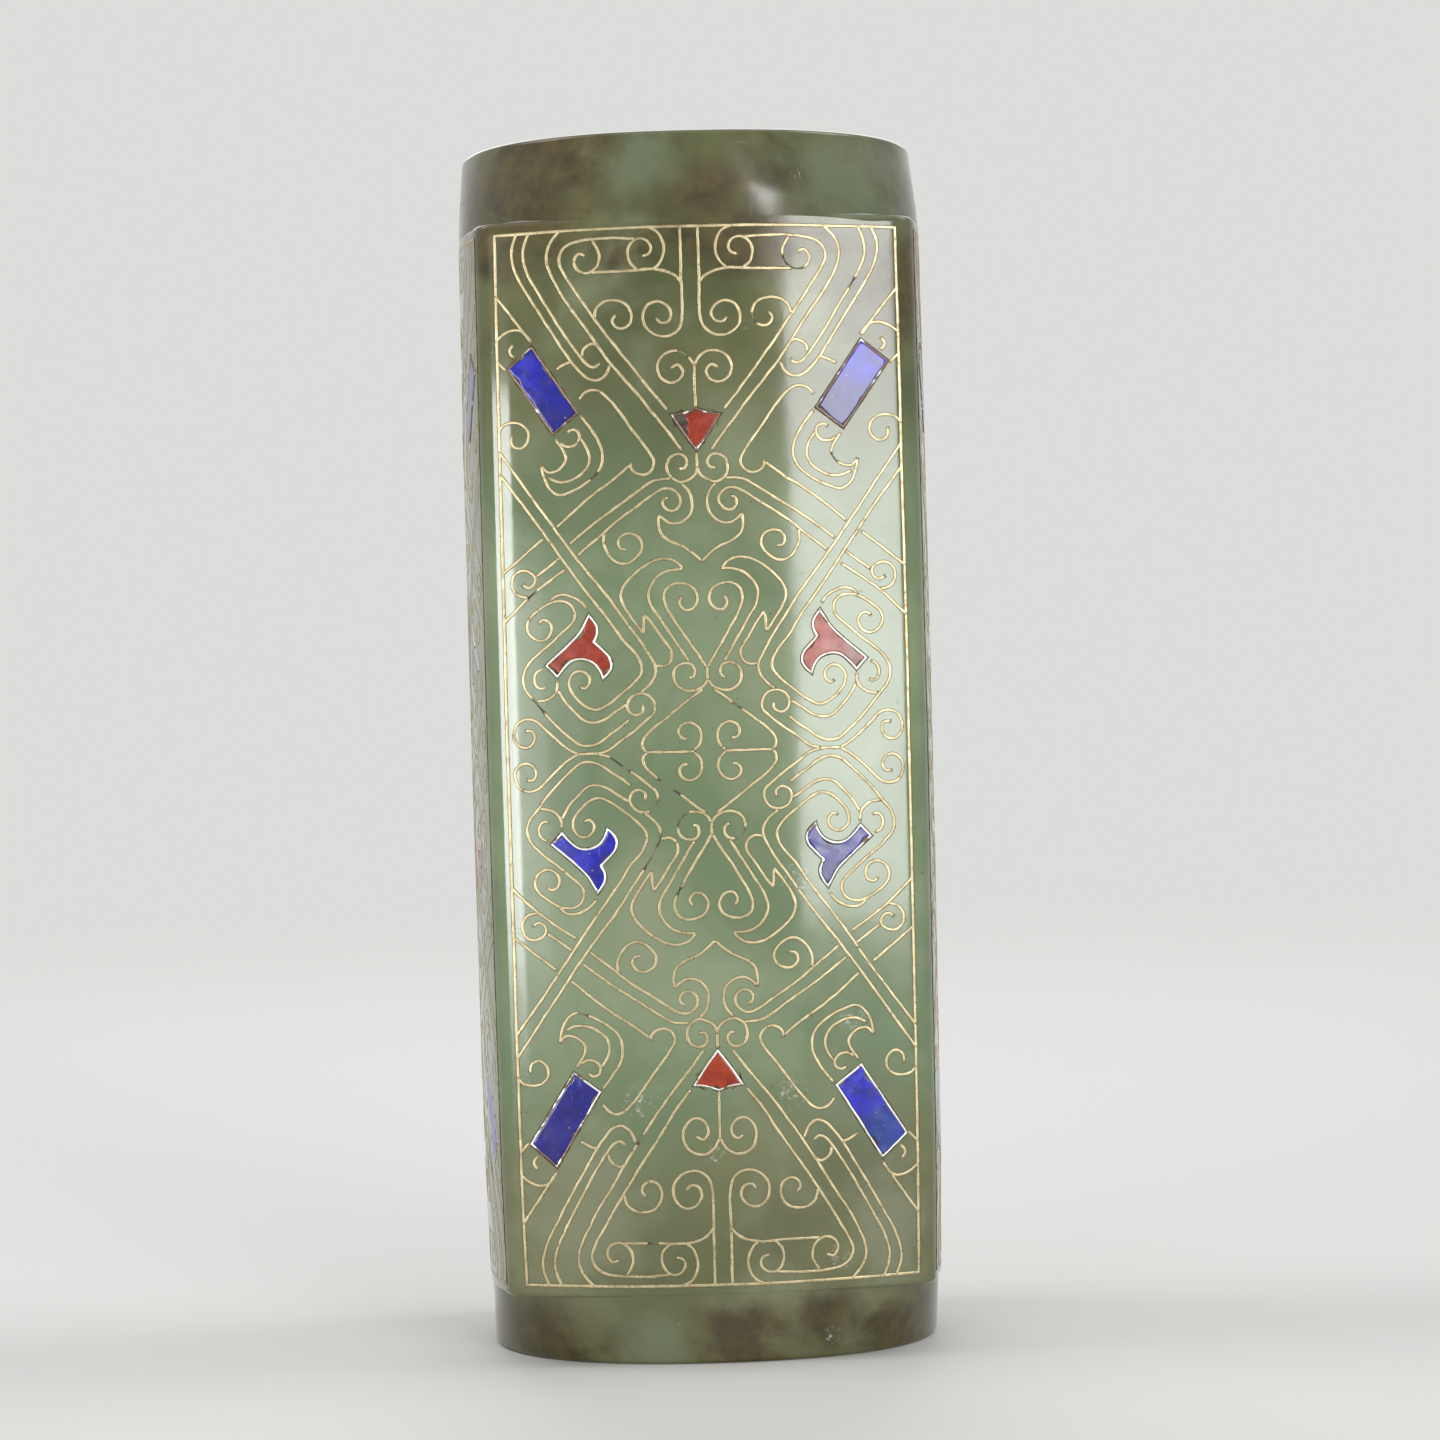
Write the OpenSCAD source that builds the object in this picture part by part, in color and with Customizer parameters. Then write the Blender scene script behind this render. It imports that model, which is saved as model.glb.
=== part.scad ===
// Jade cong: a square jade tube with round collars, a bore right through it, and four inlaid faces.
// Each face holds gold wire scrolls inside a gold frame, and stones in silver cells.
// Millimetres, +Z up, origin at the middle of the bottom rim. The front face looks along -Y.

/* [Tube] */
// Overall height, rim to rim
height = 160; // [140:1:200]
// Height of the round collar above the square body
top_collar = 11.5; // [8:0.5:16]
// Height of the round collar below the square body
bottom_collar = 9.1; // [7:0.1:14]
// Distance from the axis to a face's side edges
corner_reach = 28.4; // [26:0.1:34]
// How far the middle of a face stands out beyond its side edges
face_crown = 2.8; // [2:0.1:4]
// How far the sharp corners are rounded off, along the diagonal
corner_trim = 0.5; // [0.2:0.1:1]
// Step from the middle of a face down to the collars beside it
collar_step = 0.3; // [0.1:0.1:1.5]
// How far the collars draw in from the square body to the rims
collar_draw = 0.5; // [0.1:0.1:1.5]
// Rounding of the rims' outer edges
rim_round = 0.9; // [0.4:0.1:2]

/* [Bore] */
// Diameter of the bore through the whole tube
bore_d = 45; // [36:0.5:50]
// Chamfer at both mouths of the bore
bore_chamfer = 0.6; // [0.2:0.1:1.2]

/* [Gold] */
// Margin between the frame's outer line and a face's side edges
frame_side_margin = 2.1; // [1.5:0.1:4]
// Margin between the frame's outer line and the ledges above and below
frame_end_margin = 1.5; // [1:0.1:4]
// Width of the strip that frames each face
frame_strip = 0.5; // [0.4:0.05:1]
// Depth of the frame strip in the jade
frame_depth = 0.5; // [0.3:0.1:1]
// Width of the scroll wires
wire_w = 0.42; // [0.35:0.01:0.5]
// How far gold stands proud of the face
gold_proud = 0.12; // [0.05:0.01:0.3]

/* [Stones] */
// Depth of the silver cells in the jade
cell_depth = 1.2; // [0.8:0.1:2]
// Thickness of a silver cell's wall
cell_wall = 0.35; // [0.3:0.05:0.5]
// How far the silver cells stand proud of the face
cell_proud = 0.1; // [0.05:0.01:0.3]
// How far the stones stand proud of the face
stone_proud = 0.06; // [0.02:0.01:0.3]

/* [Hidden] */
$fn = 96;
FACES = ["front", "right", "back", "left"];
GROUPS = [
    "frame_strip", "fan_wires", "band_wires", "bar_wires", "cross_wires", "strap_wires",
    "feather_wires", "hook_wires", "lozenge_wires",
    "lapis_bars", "coral_wedges", "upper_hooks", "lower_hooks", "silver_cells"
];

// Levels and radii worked out from the sizes above
ledge_z = bottom_collar;
top_ledge_z = height - top_collar;
body_h = top_ledge_z - ledge_z;
face_reach = corner_reach + face_crown;
face_r = (corner_reach * corner_reach + face_crown * face_crown) / (2 * face_crown);
collar_r = face_reach - collar_step;
rim_r = collar_r - collar_draw;
panel_z = ledge_z + body_h / 2;
frame_half_w = corner_reach - frame_side_margin;
frame_half_h = body_h / 2 - frame_end_margin;
past = 1;
// Turn below which a wire's path runs straight on, in degrees
LEAST_TURN = 30;

// How far the maker's layout drifts up and to the left of a true one, by height
RISE = [[20, 0.6], [40, 0.7], [47, 0.85], [50, 0.5], [54, 0.35], [62, 0]];
LEAN = [[10, 0], [20, -0.3], [32, -0.4], [38, -0.65], [50, -0.65], [57, -0.9]];

// Paths of the wires, for the right half of a face's upper half
// Bands of the fan, which run out from the frame's top and down to the wedge
BAND_OUTER = [[23.1, 68], [23.8, 66], [23.7, 64.4], [22.9, 62.2], [21.3, 59.5], [19.7, 56.9],
    [17.9, 54.1], [16.3, 51.6], [15.2, 50.2], [14, 49.1], [12.8, 48.8], [11.7, 49.4], [11, 50.6]];
BAND_SCROLL = [[21.4, 68], [22.1, 66.3], [22.2, 64.7], [21.4, 62.3], [18.7, 57.7], [15.8, 53.2],
    [14.7, 51.6], [13.6, 50.5], [12.6, 51]];
BAND_SCROLL_END = [[12.4, 53.1], [13.4, 53.3], [14.4, 52.6]];
BAND_INNER = [[17.1, 68], [18.3, 66.8], [19, 65.3], [18.9, 63.7], [18.2, 61.9], [16.8, 59.5],
    [14.6, 56.4], [10.7, 50.7], [6.9, 46.1], [3.2, 41.3], [2, 39.6]];
BAND_BASE = [[7.1, 66.6], [13.8, 66.7], [16.1, 66.2], [17.1, 65.2], [17.3, 64.1], [16.7, 62.6],
    [13.9, 58.3], [10.9, 54.1], [7.5, 49.6], [3.9, 45]];
BAND_TIE = [[16.2, 51.2], [18.1, 50.5]];

// Fan between the bands, with its cartouche, stem and scrolls
CARTOUCHE_SPIRAL = [[12.8, 66.5], [11.9, 65], [12.2, 63.4], [13.6, 62.5], [14.9, 63], [15.3, 64.1],
    [14.6, 65], [13.8, 64.7]];
CARTOUCHE_ARC = [[5.6, 68], [4.2, 67.4], [3.4, 66], [3.4, 64.7], [4, 63.4], [4.7, 62.8]];
CARTOUCHE_CURL = [[6.8, 62.8], [7.8, 63.6], [8.1, 65], [7.7, 66], [6.8, 66.6], [5.6, 66.4], [5, 65.5],
    [5.3, 64.7], [6.2, 64.4]];
CARTOUCHE_BASE = [[13, 62.6], [4.6, 62.7], [2.9, 62.3], [1.8, 61.7], [1.25, 61]];
STEM_SPIRAL = [[1.15, 68], [1.15, 57], [1.5, 55.4], [2.4, 54.5], [3.7, 54.2], [5.1, 54.6],
    [6.1, 55.6], [6.3, 56.9], [5.7, 58.1], [4.5, 58.6], [3.3, 58.2], [2.6, 57.2], [3, 56.1],
    [4, 55.9], [4.6, 56.5]];
FAN_SPIRAL = [[12.7, 56.8], [12.4, 58], [11.3, 58.8], [9.9, 58.9], [8.5, 58.4], [7.8, 57.1],
    [8.1, 55.9], [9.1, 55.3], [10, 55.6], [10.4, 56.4], [9.9, 57.1]];
WEDGE_STEM = [[0, 45.1], [0, 50.7]];
WEDGE_VOLUTE = [[0, 50.5], [0.7, 51.5], [1.8, 52.2], [3.1, 52.2], [4.3, 51.5], [4.8, 50.2],
    [4.4, 48.9], [3.2, 48.2], [2, 48.6], [1.5, 49.7], [2.2, 50.5], [3.1, 50.1]];

// Strut and scrolls at the two ends of a lapis bar
BAR_STRUT = [[26.1, 60.2], [21.5, 54]];
BAR_ARCH = [[21.7, 54.4], [22.6, 55.5], [23.8, 55.7], [25.2, 55.2], [26.1, 54.4]];
BAR_CURL = [[23.9, 53.8], [24.4, 53.1], [24.3, 52.6], [23.8, 52.1]];
BAR_TAIL = [[26.1, 51.7], [25, 50.7]];
BAR_HOOK_OUTER = [[15.1, 44.4], [13.5, 42.2], [12.5, 40.2], [12.4, 38.5], [12.9, 37.2], [14, 36.1],
    [15.4, 35.2], [17, 34.5], [18.3, 34.2], [19.4, 34.9], [20.2, 36.4], [20.5, 38]];
BAR_HOOK_BACK = [[20.5, 38], [19.7, 37.2], [18.6, 37.3], [17.7, 37.9], [17.2, 38.8], [17.5, 39.9],
    [18.8, 41.6]];
BAR_HOOK_INNER = [[15.2, 41.5], [14.4, 40.2], [14.1, 38.9], [14.5, 37.6], [15.7, 36.5], [17, 35.95],
    [18.3, 35.9], [19.7, 36.5]];
BAR_SPIRAL = [[17.9, 40.9], [17, 40.4], [15.9, 40.6], [15.35, 41.4], [15.5, 42.3], [16.4, 42.6],
    [16.9, 42.2]];
SIDE_SPIRAL = [[26.1, 42.5], [25.5, 43.4], [24.4, 43.7], [23.1, 43.5], [22.2, 42.5], [22.3, 41.2],
    [23.2, 40.4], [24.2, 40.7], [24.5, 41.5], [24.4, 42.1]];

// Loop, cross straps and volutes between the bars, and the ogee below the wedge
PIPE_LOOP = [[15.2, 46.4], [14.4, 47.3], [13.5, 47.6], [12.5, 47.4], [11.4, 46.5], [10.1, 44.9],
    [7.2, 40.8], [6, 39.1], [5.6, 38.2], [5.9, 37.1], [6.9, 36.5], [7.9, 36.7], [8.6, 37.6]];
STRAP_ONE = [[8.6, 37.8], [11, 36], [15.8, 32.6], [18.6, 30.2]];
WEDGE_FOOT = [[0, 39.2], [0, 37.3]];
FOOT_VOLUTE = [[0, 37.5], [0.3, 36.4], [1.2, 35.7], [2.3, 35.4], [3.5, 36.1], [3.95, 37.3],
    [3.6, 38.5], [2.6, 39], [1.7, 38.8], [1.3, 38], [1.7, 37.2], [2.4, 37.2]];
STRAP_TWO = [[3.6, 35.9], [5.7, 35.7], [7.2, 34.9], [11.5, 32], [15.7, 29], [16.9, 28]];
STRAP_THREE = [[15.9, 26.6], [13.3, 28.6], [11.3, 30.3], [7.6, 32.8], [6, 33.9], [4.6, 34.6],
    [3.5, 34.5], [2.6, 33.7], [2.5, 32.7], [3.2, 31.8], [4.2, 31.8], [4.8, 32.6], [4.6, 33.3],
    [4, 33.5]];
OGEE_SIDE = [[2.2, 35.2], [1.3, 34.2], [0.95, 32.8], [1.3, 31.3], [2.4, 30.3], [3.8, 30.1],
    [4.8, 30.7], [5.4, 31.2]];
OGEE_POINT = [[5.4, 31.2], [5.45, 30], [5.1, 28.7], [4, 27.8], [2.4, 27.1], [1.1, 26.2], [0, 25.2]];
FIELD_SPIRAL = [[12.6, 29], [12.7, 27.9], [12.2, 26.5], [11.2, 25.4], [9.9, 25.1], [8.6, 25.8],
    [7.7, 27.1], [8, 28.4], [9.1, 29], [10.2, 28.8], [10.8, 28], [10.5, 27.1], [9.7, 26.9]];

// Double diagonal strap, and what starts again on its far side
LONG_STRAP = [[26.1, 40], [20.1, 31.3], [12.6, 21.1], [8.5, 15.1], [7.5, 13.4], [6.7, 11.8],
    [6.75, 10.6], [7.5, 9.4], [8.6, 8.5]];
LONG_STRAP_SCROLL = [[26.1, 37], [22.7, 32.4], [15.5, 22], [10.6, 15.1], [9.2, 13.5], [8.5, 12.1],
    [8.5, 11], [9.3, 9.9], [11, 8.4], [13, 6.9], [14.4, 6.3], [15.5, 6.6], [16.8, 7.6], [17.8, 9],
    [17.9, 10.2], [17.1, 11.2], [16.1, 11.3], [15.3, 10.6], [15.3, 9.7], [15.9, 9.1], [16.5, 9.4]];
FAR_ONE = [[20.8, 28.5], [26.1, 24.3]];
FAR_TWO = [[18.8, 25.9], [20.2, 24.8], [21.7, 23.8]];
FAR_SPIRAL = [[22.9, 21.2], [24.2, 21.4], [24.9, 22.5], [24.7, 23.8], [23.8, 24.5], [22.7, 24.4],
    [21.9, 23.7], [22, 22.8], [22.8, 22.3], [23.6, 22.8]];
FAR_THREE = [[18, 24.5], [20.8, 22.5], [22.9, 20.9], [26.1, 17.8]];

// Feathers and heart around the middle
FEATHER_OUTER = [[2.5, 24.2], [3.3, 25.1], [4.6, 25.6], [6.2, 25.4], [7.7, 24.6], [9.2, 23.4],
    [10.3, 22.1], [10.7, 20.8], [10.2, 19.3], [9.2, 17.7], [7.9, 15.9]];
FEATHER_SPUR = [[7.9, 16.1], [7.75, 18.4]];
FEATHER_LOWER = [[7.7, 18.4], [6.8, 17.2], [5.5, 15.2], [4.5, 13.6], [4.6, 12.4], [5.5, 11.7],
    [6.5, 11.8]];
FEATHER_INNER = [[2.7, 24.2], [4, 24.1], [5.4, 23.6], [6.6, 22.4], [7.1, 21.1], [6.8, 19.6],
    [5.7, 17.8], [4.4, 15.6], [3, 13.3], [2.3, 12.3]];
HEART_SIDE = [[0.1, 11.4], [1, 13], [2.3, 15], [3.6, 17.1], [4.7, 19.1], [5.1, 20.5], [4.8, 21.6],
    [3.7, 22.3], [2.3, 22.2], [1.1, 21.5], [0.75, 20.2], [1.4, 19.1], [2.4, 18.9], [3.1, 19.8],
    [2.7, 20.7]];
HEART_STEM = [[0, 11.6], [0, 9.8]];
HEART_VOLUTE = [[0, 9.9], [0.6, 9], [1.7, 8.5], [2.9, 8.5], [4, 9.2], [4.4, 10.4], [4, 11.5],
    [3, 12], [2, 11.8], [1.6, 11], [1.9, 10.2], [2.4, 10.1]];

// Scrolls around the hook stones, out to the frame
KIDNEY_LINE = [[10.4, 4.7], [12.6, 3.2], [14.1, 2.1], [15.5, 1.65], [16.8, 1.85], [18.1, 2.9],
    [20.1, 4.8], [22.4, 7.6], [23.5, 9], [23.9, 10.5], [23.5, 11.8], [22.1, 13.4], [20.4, 14.7],
    [18.6, 16.3], [17, 17.9], [16.8, 19], [17.3, 20], [18.5, 20.5], [19.9, 20.3], [21.6, 19.3],
    [22.8, 18.2], [23.1, 17.1], [22.6, 16], [21.5, 15.4], [20.4, 15.8], [19.9, 16.9], [20.2, 17.8],
    [21, 18.1], [21.6, 17.6]];
KIDNEY_ARC = [[15.2, 19.4], [15.9, 20.3], [17, 21], [18.3, 21.3], [19.4, 21], [20, 20.5]];
TILE_CURL = [[21.3, 11.8], [22.1, 11.3], [22.4, 10.4], [22.1, 9.5], [21.5, 9.2], [21, 9.4]];
TILE_ARC = [[19.4, 10.2], [19.6, 8.8], [20.7, 7.8], [22, 7.55]];
SECOND_BAND = [[19.4, 9], [18.4, 7.3], [17.2, 6], [16, 4.9], [14.9, 4.65], [13.5, 5], [11.9, 6.1],
    [10.6, 6.9]];
SIDE_SCROLL = [[16.9, 0.8], [18.2, 1.5], [19.9, 2.7], [21.2, 4], [22.3, 5], [23.5, 5.3],
    [24.7, 4.8], [25.2, 3.6], [25, 2.3], [24, 1.6], [23, 1.9], [22.5, 2.9], [22.9, 3.75],
    [23.8, 3.75]];

// Hook volutes and lozenge on the middle line
HOOK_VOLUTE = [[14.6, 0.85], [13.1, 1.2], [11.3, 2.3], [9.6, 3.5], [7.9, 4.9], [7, 5.8], [7, 7],
    [7.7, 8], [8.9, 8.3], [10, 7.8], [10.5, 6.8], [10.2, 5.8], [9.3, 5.4], [8.5, 5.9], [8.5, 6.8]];
CROSSING = [[14.4, 0.6], [17.1, 0.6]];
LOZENGE_SIDE = [[0.9, 8.4], [2, 7.7], [5.1, 5.3], [7.2, 3.7], [8.3, 2.6], [8.65, 1.8], [8.5, 1.1],
    [8.1, 0.7]];
LOZENGE_LINE = [[8.2, 0.6], [1.9, 0.6]];
LOZENGE_SPIRAL = [[2.1, 0.7], [1.3, 1.5], [1.05, 2.7], [1.5, 3.8], [2.65, 4.35], [3.7, 3.9], [4, 3],
    [3.5, 2.3], [2.9, 2.3]];

// Outlines of the stones with their silver cells
BAR_TILE = [[21.35, 53.6], [24.85, 50.7], [18.85, 41.9], [15.3, 44.7]];
WEDGE_TILE = [[0, 39.3], [3.35, 44.2], [0, 44.9], [-3.35, 44.2]];
HOOK_TILE = [[15, 18.8], [15.5, 17.9], [16.4, 16.4], [18, 14.8], [19.7, 13.3], [20.95, 12.2],
    [19.4, 10.5], [18.4, 11.7], [17.3, 12.6], [16, 12.75], [14.7, 12.2], [13.9, 11.1], [13.6, 10.1],
    [12.7, 10.9], [12.2, 11.9], [12.4, 13], [13.3, 14.1], [14.3, 15.1], [13.9, 16], [13.9, 17.1],
    [14.4, 18]];

// How far inside the frame's outer line the wires that meet it end
PATTERN_INSET = 0.2;
// Half width and half height of the panel that the pattern's points are drawn for
PATTERN_HALF = [LONG_STRAP[0][0] + PATTERN_INSET, BAND_OUTER[0][1] + PATTERN_INSET];

GOLD = "#d9b97c";
SILVER = "#cfd2d0";
LAPIS = "#22309a";
CORAL = "#b8402c";
JADE = "#7f8c74";

// A point of the pattern on a face: upper or lower half, right or left, with the maker's drift
function placed(p, across, up) =
    let (v = up > 0 ? p[1] : 2 * lookup(p[1], RISE) - p[1],
         room = 1 - pow(p[0] / PATTERN_HALF[0], 2),
         u = across * p[0] + lookup(v, LEAN) * room)
    [u * frame_half_w / PATTERN_HALF[0], v * frame_half_h / PATTERN_HALF[1]];

function path_placed(path, across, up) = [for (p = path) placed(p, across, up)];

function turn(a, b, c) = acos(min(1, (b - a) * (c - b) / (norm(b - a) * norm(c - b))));

// A path without the points at which it hardly turns, so that each wire has few flat sides
function plainer(p, i = 1, kept = []) =
    let (k = len(kept) == 0 ? [p[0]] : kept)
    i >= len(p) - 1
        ? concat(k, [p[len(p) - 1]])
        : plainer(p, i + 1, turn(k[len(k) - 1], p[i], p[i + 1]) > LEAST_TURN ? concat(k, [p[i]]) : k);

function side_of(a, b) = [a[1] - b[1], b[0] - a[0]] / norm(b - a);

// A point beside a path, with a mitre that stays short at sharp turns
function beside(p, i, away) =
    let (before = side_of(p[max(i - 1, 0)], p[max(i, 1)]),
         after = side_of(p[min(i, len(p) - 2)], p[min(i + 1, len(p) - 1)]),
         middle = (before + after) / norm(before + after))
    p[i] + middle * away / max(middle * before, 0.7);

function ribbon(p, width) = concat(
    [for (i = [0:len(p) - 1]) beside(p, i, width / 2)],
    [for (i = [len(p) - 1:-1:0]) beside(p, i, -width / 2)]);

// A round arc's points, for the rims
function arc(centre, r, from, to, steps) =
    [for (i = [0:steps]) centre + r * [cos(from + (to - from) * i / steps), sin(from + (to - from) * i / steps)]];

// The tube's face as a cylinder about its own far axis, grown by a depth or a height
module face_cylinder(grow = 0, taller = 0) {
    translate([0, face_r - face_reach, ledge_z])
        cylinder(r = face_r + grow, h = body_h + taller, $fn = 720);
}

// A flat outline pushed out through the front face
module through_face() {
    translate([0, 0, panel_z])
        rotate([90, 0, 0])
        translate([0, 0, corner_reach - cell_depth - past])
        linear_extrude(face_crown + cell_depth + 2 * past)
        children();
}

// What of its children lies between two levels of the front face
module between(low, high) {
    difference() {
        intersection() {
            children();
            face_cylinder(high);
        }
        translate([0, 0, -past]) face_cylinder(low, 2 * past);
    }
}

module on_face(i) rotate([0, 0, 90 * i]) children();

module wire_outline(path, across, up) polygon(ribbon(plainer(path_placed(path, across, up)), wire_w));

// Gold wires: quarter paths go into all four quarters, centre paths stay on the axis
module gold_wires(quarter, centre = [], middle = []) {
    color(GOLD) between(0, gold_proud) {
        for (path = quarter, across = [-1, 1], up = [-1, 1])
            through_face() wire_outline(path, across, up);
        for (path = centre, up = [-1, 1])
            through_face() wire_outline(path, 1, up);
        for (path = middle, across = [-1, 1])
            through_face() wire_outline(path, across, 1);
    }
}

module frame_outline() {
    difference() {
        square([2 * frame_half_w, 2 * frame_half_h], center = true);
        square([2 * (frame_half_w - frame_strip), 2 * (frame_half_h - frame_strip)], center = true);
    }
}

// Stone outlines in their places: ups is 1 for the upper half, -1 for the lower half
module bar_tile(across, up) polygon(path_placed(BAR_TILE, across, up));
module hook_tile(across, up) polygon(path_placed(HOOK_TILE, across, up));
module wedge_tile(up) polygon(path_placed(WEDGE_TILE, 1, up));

module tiles(shrink = 0) {
    for (up = [-1, 1]) {
        for (across = [-1, 1]) {
            through_face() offset(delta = -shrink) bar_tile(across, up);
            through_face() offset(delta = -shrink) hook_tile(across, up);
        }
        through_face() offset(delta = -shrink) wedge_tile(up);
    }
}

module stones() between(-cell_depth, stone_proud) children();

module collar_profile() {
    polygon(concat(
        [[0, 0]],
        arc([rim_r - rim_round, rim_round], rim_round, -90, 0, 5),
        [[collar_r, ledge_z], [collar_r, top_ledge_z]],
        arc([rim_r - rim_round, height - rim_round], rim_round, 0, 90, 5),
        [[0, height]]));
}

module square_body() {
    intersection() {
        translate([0, 0, ledge_z]) cylinder(r = corner_reach * sqrt(2) - corner_trim, h = body_h);
        on_face(0) face_cylinder();
        on_face(1) face_cylinder();
        on_face(2) face_cylinder();
        on_face(3) face_cylinder();
    }
}

module bore() {
    translate([0, 0, -past]) cylinder(d = bore_d, h = height + 2 * past);
    for (end = [0, 1])
        translate([0, 0, end * height]) mirror([0, 0, end]) translate([0, 0, -past])
            cylinder(r1 = bore_d / 2 + bore_chamfer + past, r2 = bore_d / 2, h = bore_chamfer + past);
}

module jade_tube() {
    color(JADE) difference() {
        union() {
            square_body();
            rotate_extrude() collar_profile();
        }
        bore();
        for (i = [0:3]) on_face(i) between(-frame_depth, 2 * past) through_face() frame_outline();
        for (i = [0:3]) on_face(i) between(-cell_depth, 2 * past) tiles();
    }
}

module frame_strip() color(GOLD) between(-frame_depth, gold_proud) through_face() frame_outline();

module fan_wires() {
    gold_wires(
        [CARTOUCHE_SPIRAL, CARTOUCHE_ARC, CARTOUCHE_CURL, CARTOUCHE_BASE, STEM_SPIRAL, FAN_SPIRAL,
            WEDGE_VOLUTE],
        centre = [WEDGE_STEM]);
}

module band_wires() {
    gold_wires([BAND_OUTER, BAND_SCROLL, BAND_SCROLL_END, BAND_INNER, BAND_BASE, BAND_TIE]);
}

module bar_wires() {
    gold_wires([BAR_STRUT, BAR_ARCH, BAR_CURL, BAR_TAIL, BAR_HOOK_OUTER, BAR_HOOK_BACK,
        BAR_HOOK_INNER, BAR_SPIRAL, SIDE_SPIRAL]);
}

module cross_wires() {
    gold_wires(
        [PIPE_LOOP, STRAP_ONE, FOOT_VOLUTE, STRAP_TWO, STRAP_THREE, OGEE_SIDE, OGEE_POINT,
            FIELD_SPIRAL],
        centre = [WEDGE_FOOT]);
}

module strap_wires() {
    gold_wires([LONG_STRAP, LONG_STRAP_SCROLL, FAR_ONE, FAR_TWO, FAR_SPIRAL, FAR_THREE]);
}

module feather_wires() {
    gold_wires(
        [FEATHER_OUTER, FEATHER_SPUR, FEATHER_LOWER, FEATHER_INNER, HEART_SIDE, HEART_VOLUTE],
        centre = [HEART_STEM]);
}

module hook_wires() {
    gold_wires([KIDNEY_LINE, KIDNEY_ARC, TILE_CURL, TILE_ARC, SECOND_BAND, SIDE_SCROLL]);
}

module lozenge_wires() {
    gold_wires([HOOK_VOLUTE, LOZENGE_SIDE, LOZENGE_SPIRAL], middle = [CROSSING, LOZENGE_LINE]);
}

module lapis_bars() {
    color(LAPIS) stones() {
        for (across = [-1, 1], up = [-1, 1])
            through_face() offset(delta = -cell_wall) bar_tile(across, up);
    }
}

module coral_wedges() {
    color(CORAL) stones() {
        for (up = [-1, 1]) through_face() offset(delta = -cell_wall) wedge_tile(up);
    }
}

module hooks(stone_colour, up) {
    color(stone_colour) stones() {
        for (across = [-1, 1]) through_face() offset(delta = -cell_wall) hook_tile(across, up);
    }
}

module silver_cells() {
    color(SILVER) between(-cell_depth, cell_proud) {
        difference() {
            tiles();
            tiles(cell_wall);
        }
    }
}

// The two hook pairs change colours from one face to the next
function hook_stone(i, up) = (i % 2 == 0) == (up > 0) ? CORAL : LAPIS;

jade_tube();
for (i = [0:3]) {
    on_face(i) frame_strip();
    on_face(i) fan_wires();
    on_face(i) band_wires();
    on_face(i) bar_wires();
    on_face(i) cross_wires();
    on_face(i) strap_wires();
    on_face(i) feather_wires();
    on_face(i) hook_wires();
    on_face(i) lozenge_wires();
    on_face(i) lapis_bars();
    on_face(i) coral_wedges();
    on_face(i) hooks(hook_stone(i, 1), 1);
    on_face(i) hooks(hook_stone(i, -1), -1);
    on_face(i) silver_cells();
}
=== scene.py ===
# Jade cong with gold wire, lapis and coral inlay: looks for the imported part, in the part's own frame.
import math

import bpy
import numpy as np
from mathutils import Matrix, Vector, noise
from mathutils.geometry import delaunay_2d_cdt


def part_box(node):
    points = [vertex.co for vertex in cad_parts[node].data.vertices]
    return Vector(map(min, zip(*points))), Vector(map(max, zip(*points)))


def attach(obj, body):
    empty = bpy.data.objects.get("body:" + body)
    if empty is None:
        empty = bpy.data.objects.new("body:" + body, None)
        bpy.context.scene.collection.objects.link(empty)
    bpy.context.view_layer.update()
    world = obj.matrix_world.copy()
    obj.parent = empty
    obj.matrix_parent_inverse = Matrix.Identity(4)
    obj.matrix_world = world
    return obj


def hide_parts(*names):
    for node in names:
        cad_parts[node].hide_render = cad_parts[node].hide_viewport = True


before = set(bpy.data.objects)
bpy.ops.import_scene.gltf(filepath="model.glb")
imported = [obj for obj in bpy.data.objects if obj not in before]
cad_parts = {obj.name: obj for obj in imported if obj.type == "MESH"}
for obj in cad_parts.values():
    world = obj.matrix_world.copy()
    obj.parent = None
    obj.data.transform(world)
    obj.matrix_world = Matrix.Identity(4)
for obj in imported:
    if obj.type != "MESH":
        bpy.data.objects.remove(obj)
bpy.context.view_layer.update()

# Sizes, in millimetres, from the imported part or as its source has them
MM = 0.001
FACES = ["front", "right", "back", "left"]


def node_box_mm(node):
    low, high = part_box(node)
    return low / MM, high / MM


TUBE_HIGH = node_box_mm("jade_tube")[1]
FRAME_LOW, FRAME_HIGH = node_box_mm("front_frame_strip")
HEIGHT = TUBE_HIGH.z
FACE_REACH = TUBE_HIGH.x
FACE_CROWN = 2.8
CORNER_REACH = FACE_REACH - FACE_CROWN
FACE_R = (CORNER_REACH ** 2 + FACE_CROWN ** 2) / (2 * FACE_CROWN)
LEDGE_Z = 9.1
TOP_LEDGE_Z = HEIGHT - 11.5
PANEL_Z = (FRAME_LOW.z + FRAME_HIGH.z) / 2
FRAME_HALF_W = (FRAME_HIGH.x - FRAME_LOW.x) / 2
FRAME_HALF_H = (FRAME_HIGH.z - FRAME_LOW.z) / 2
FRAME_STRIP = 0.38
BORE_R = 22.5
WIRE_W = 0.36
CELL_WALL = 0.30
# Spacing of the samples along a wire, along the frame and along a stone's outline
WIRE_STEP = 0.28
FRAME_STEP = 0.6
OUTLINE_STEP = 0.35
# How far the panel's end lines bow outwards
END_BOW = 0.55

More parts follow.
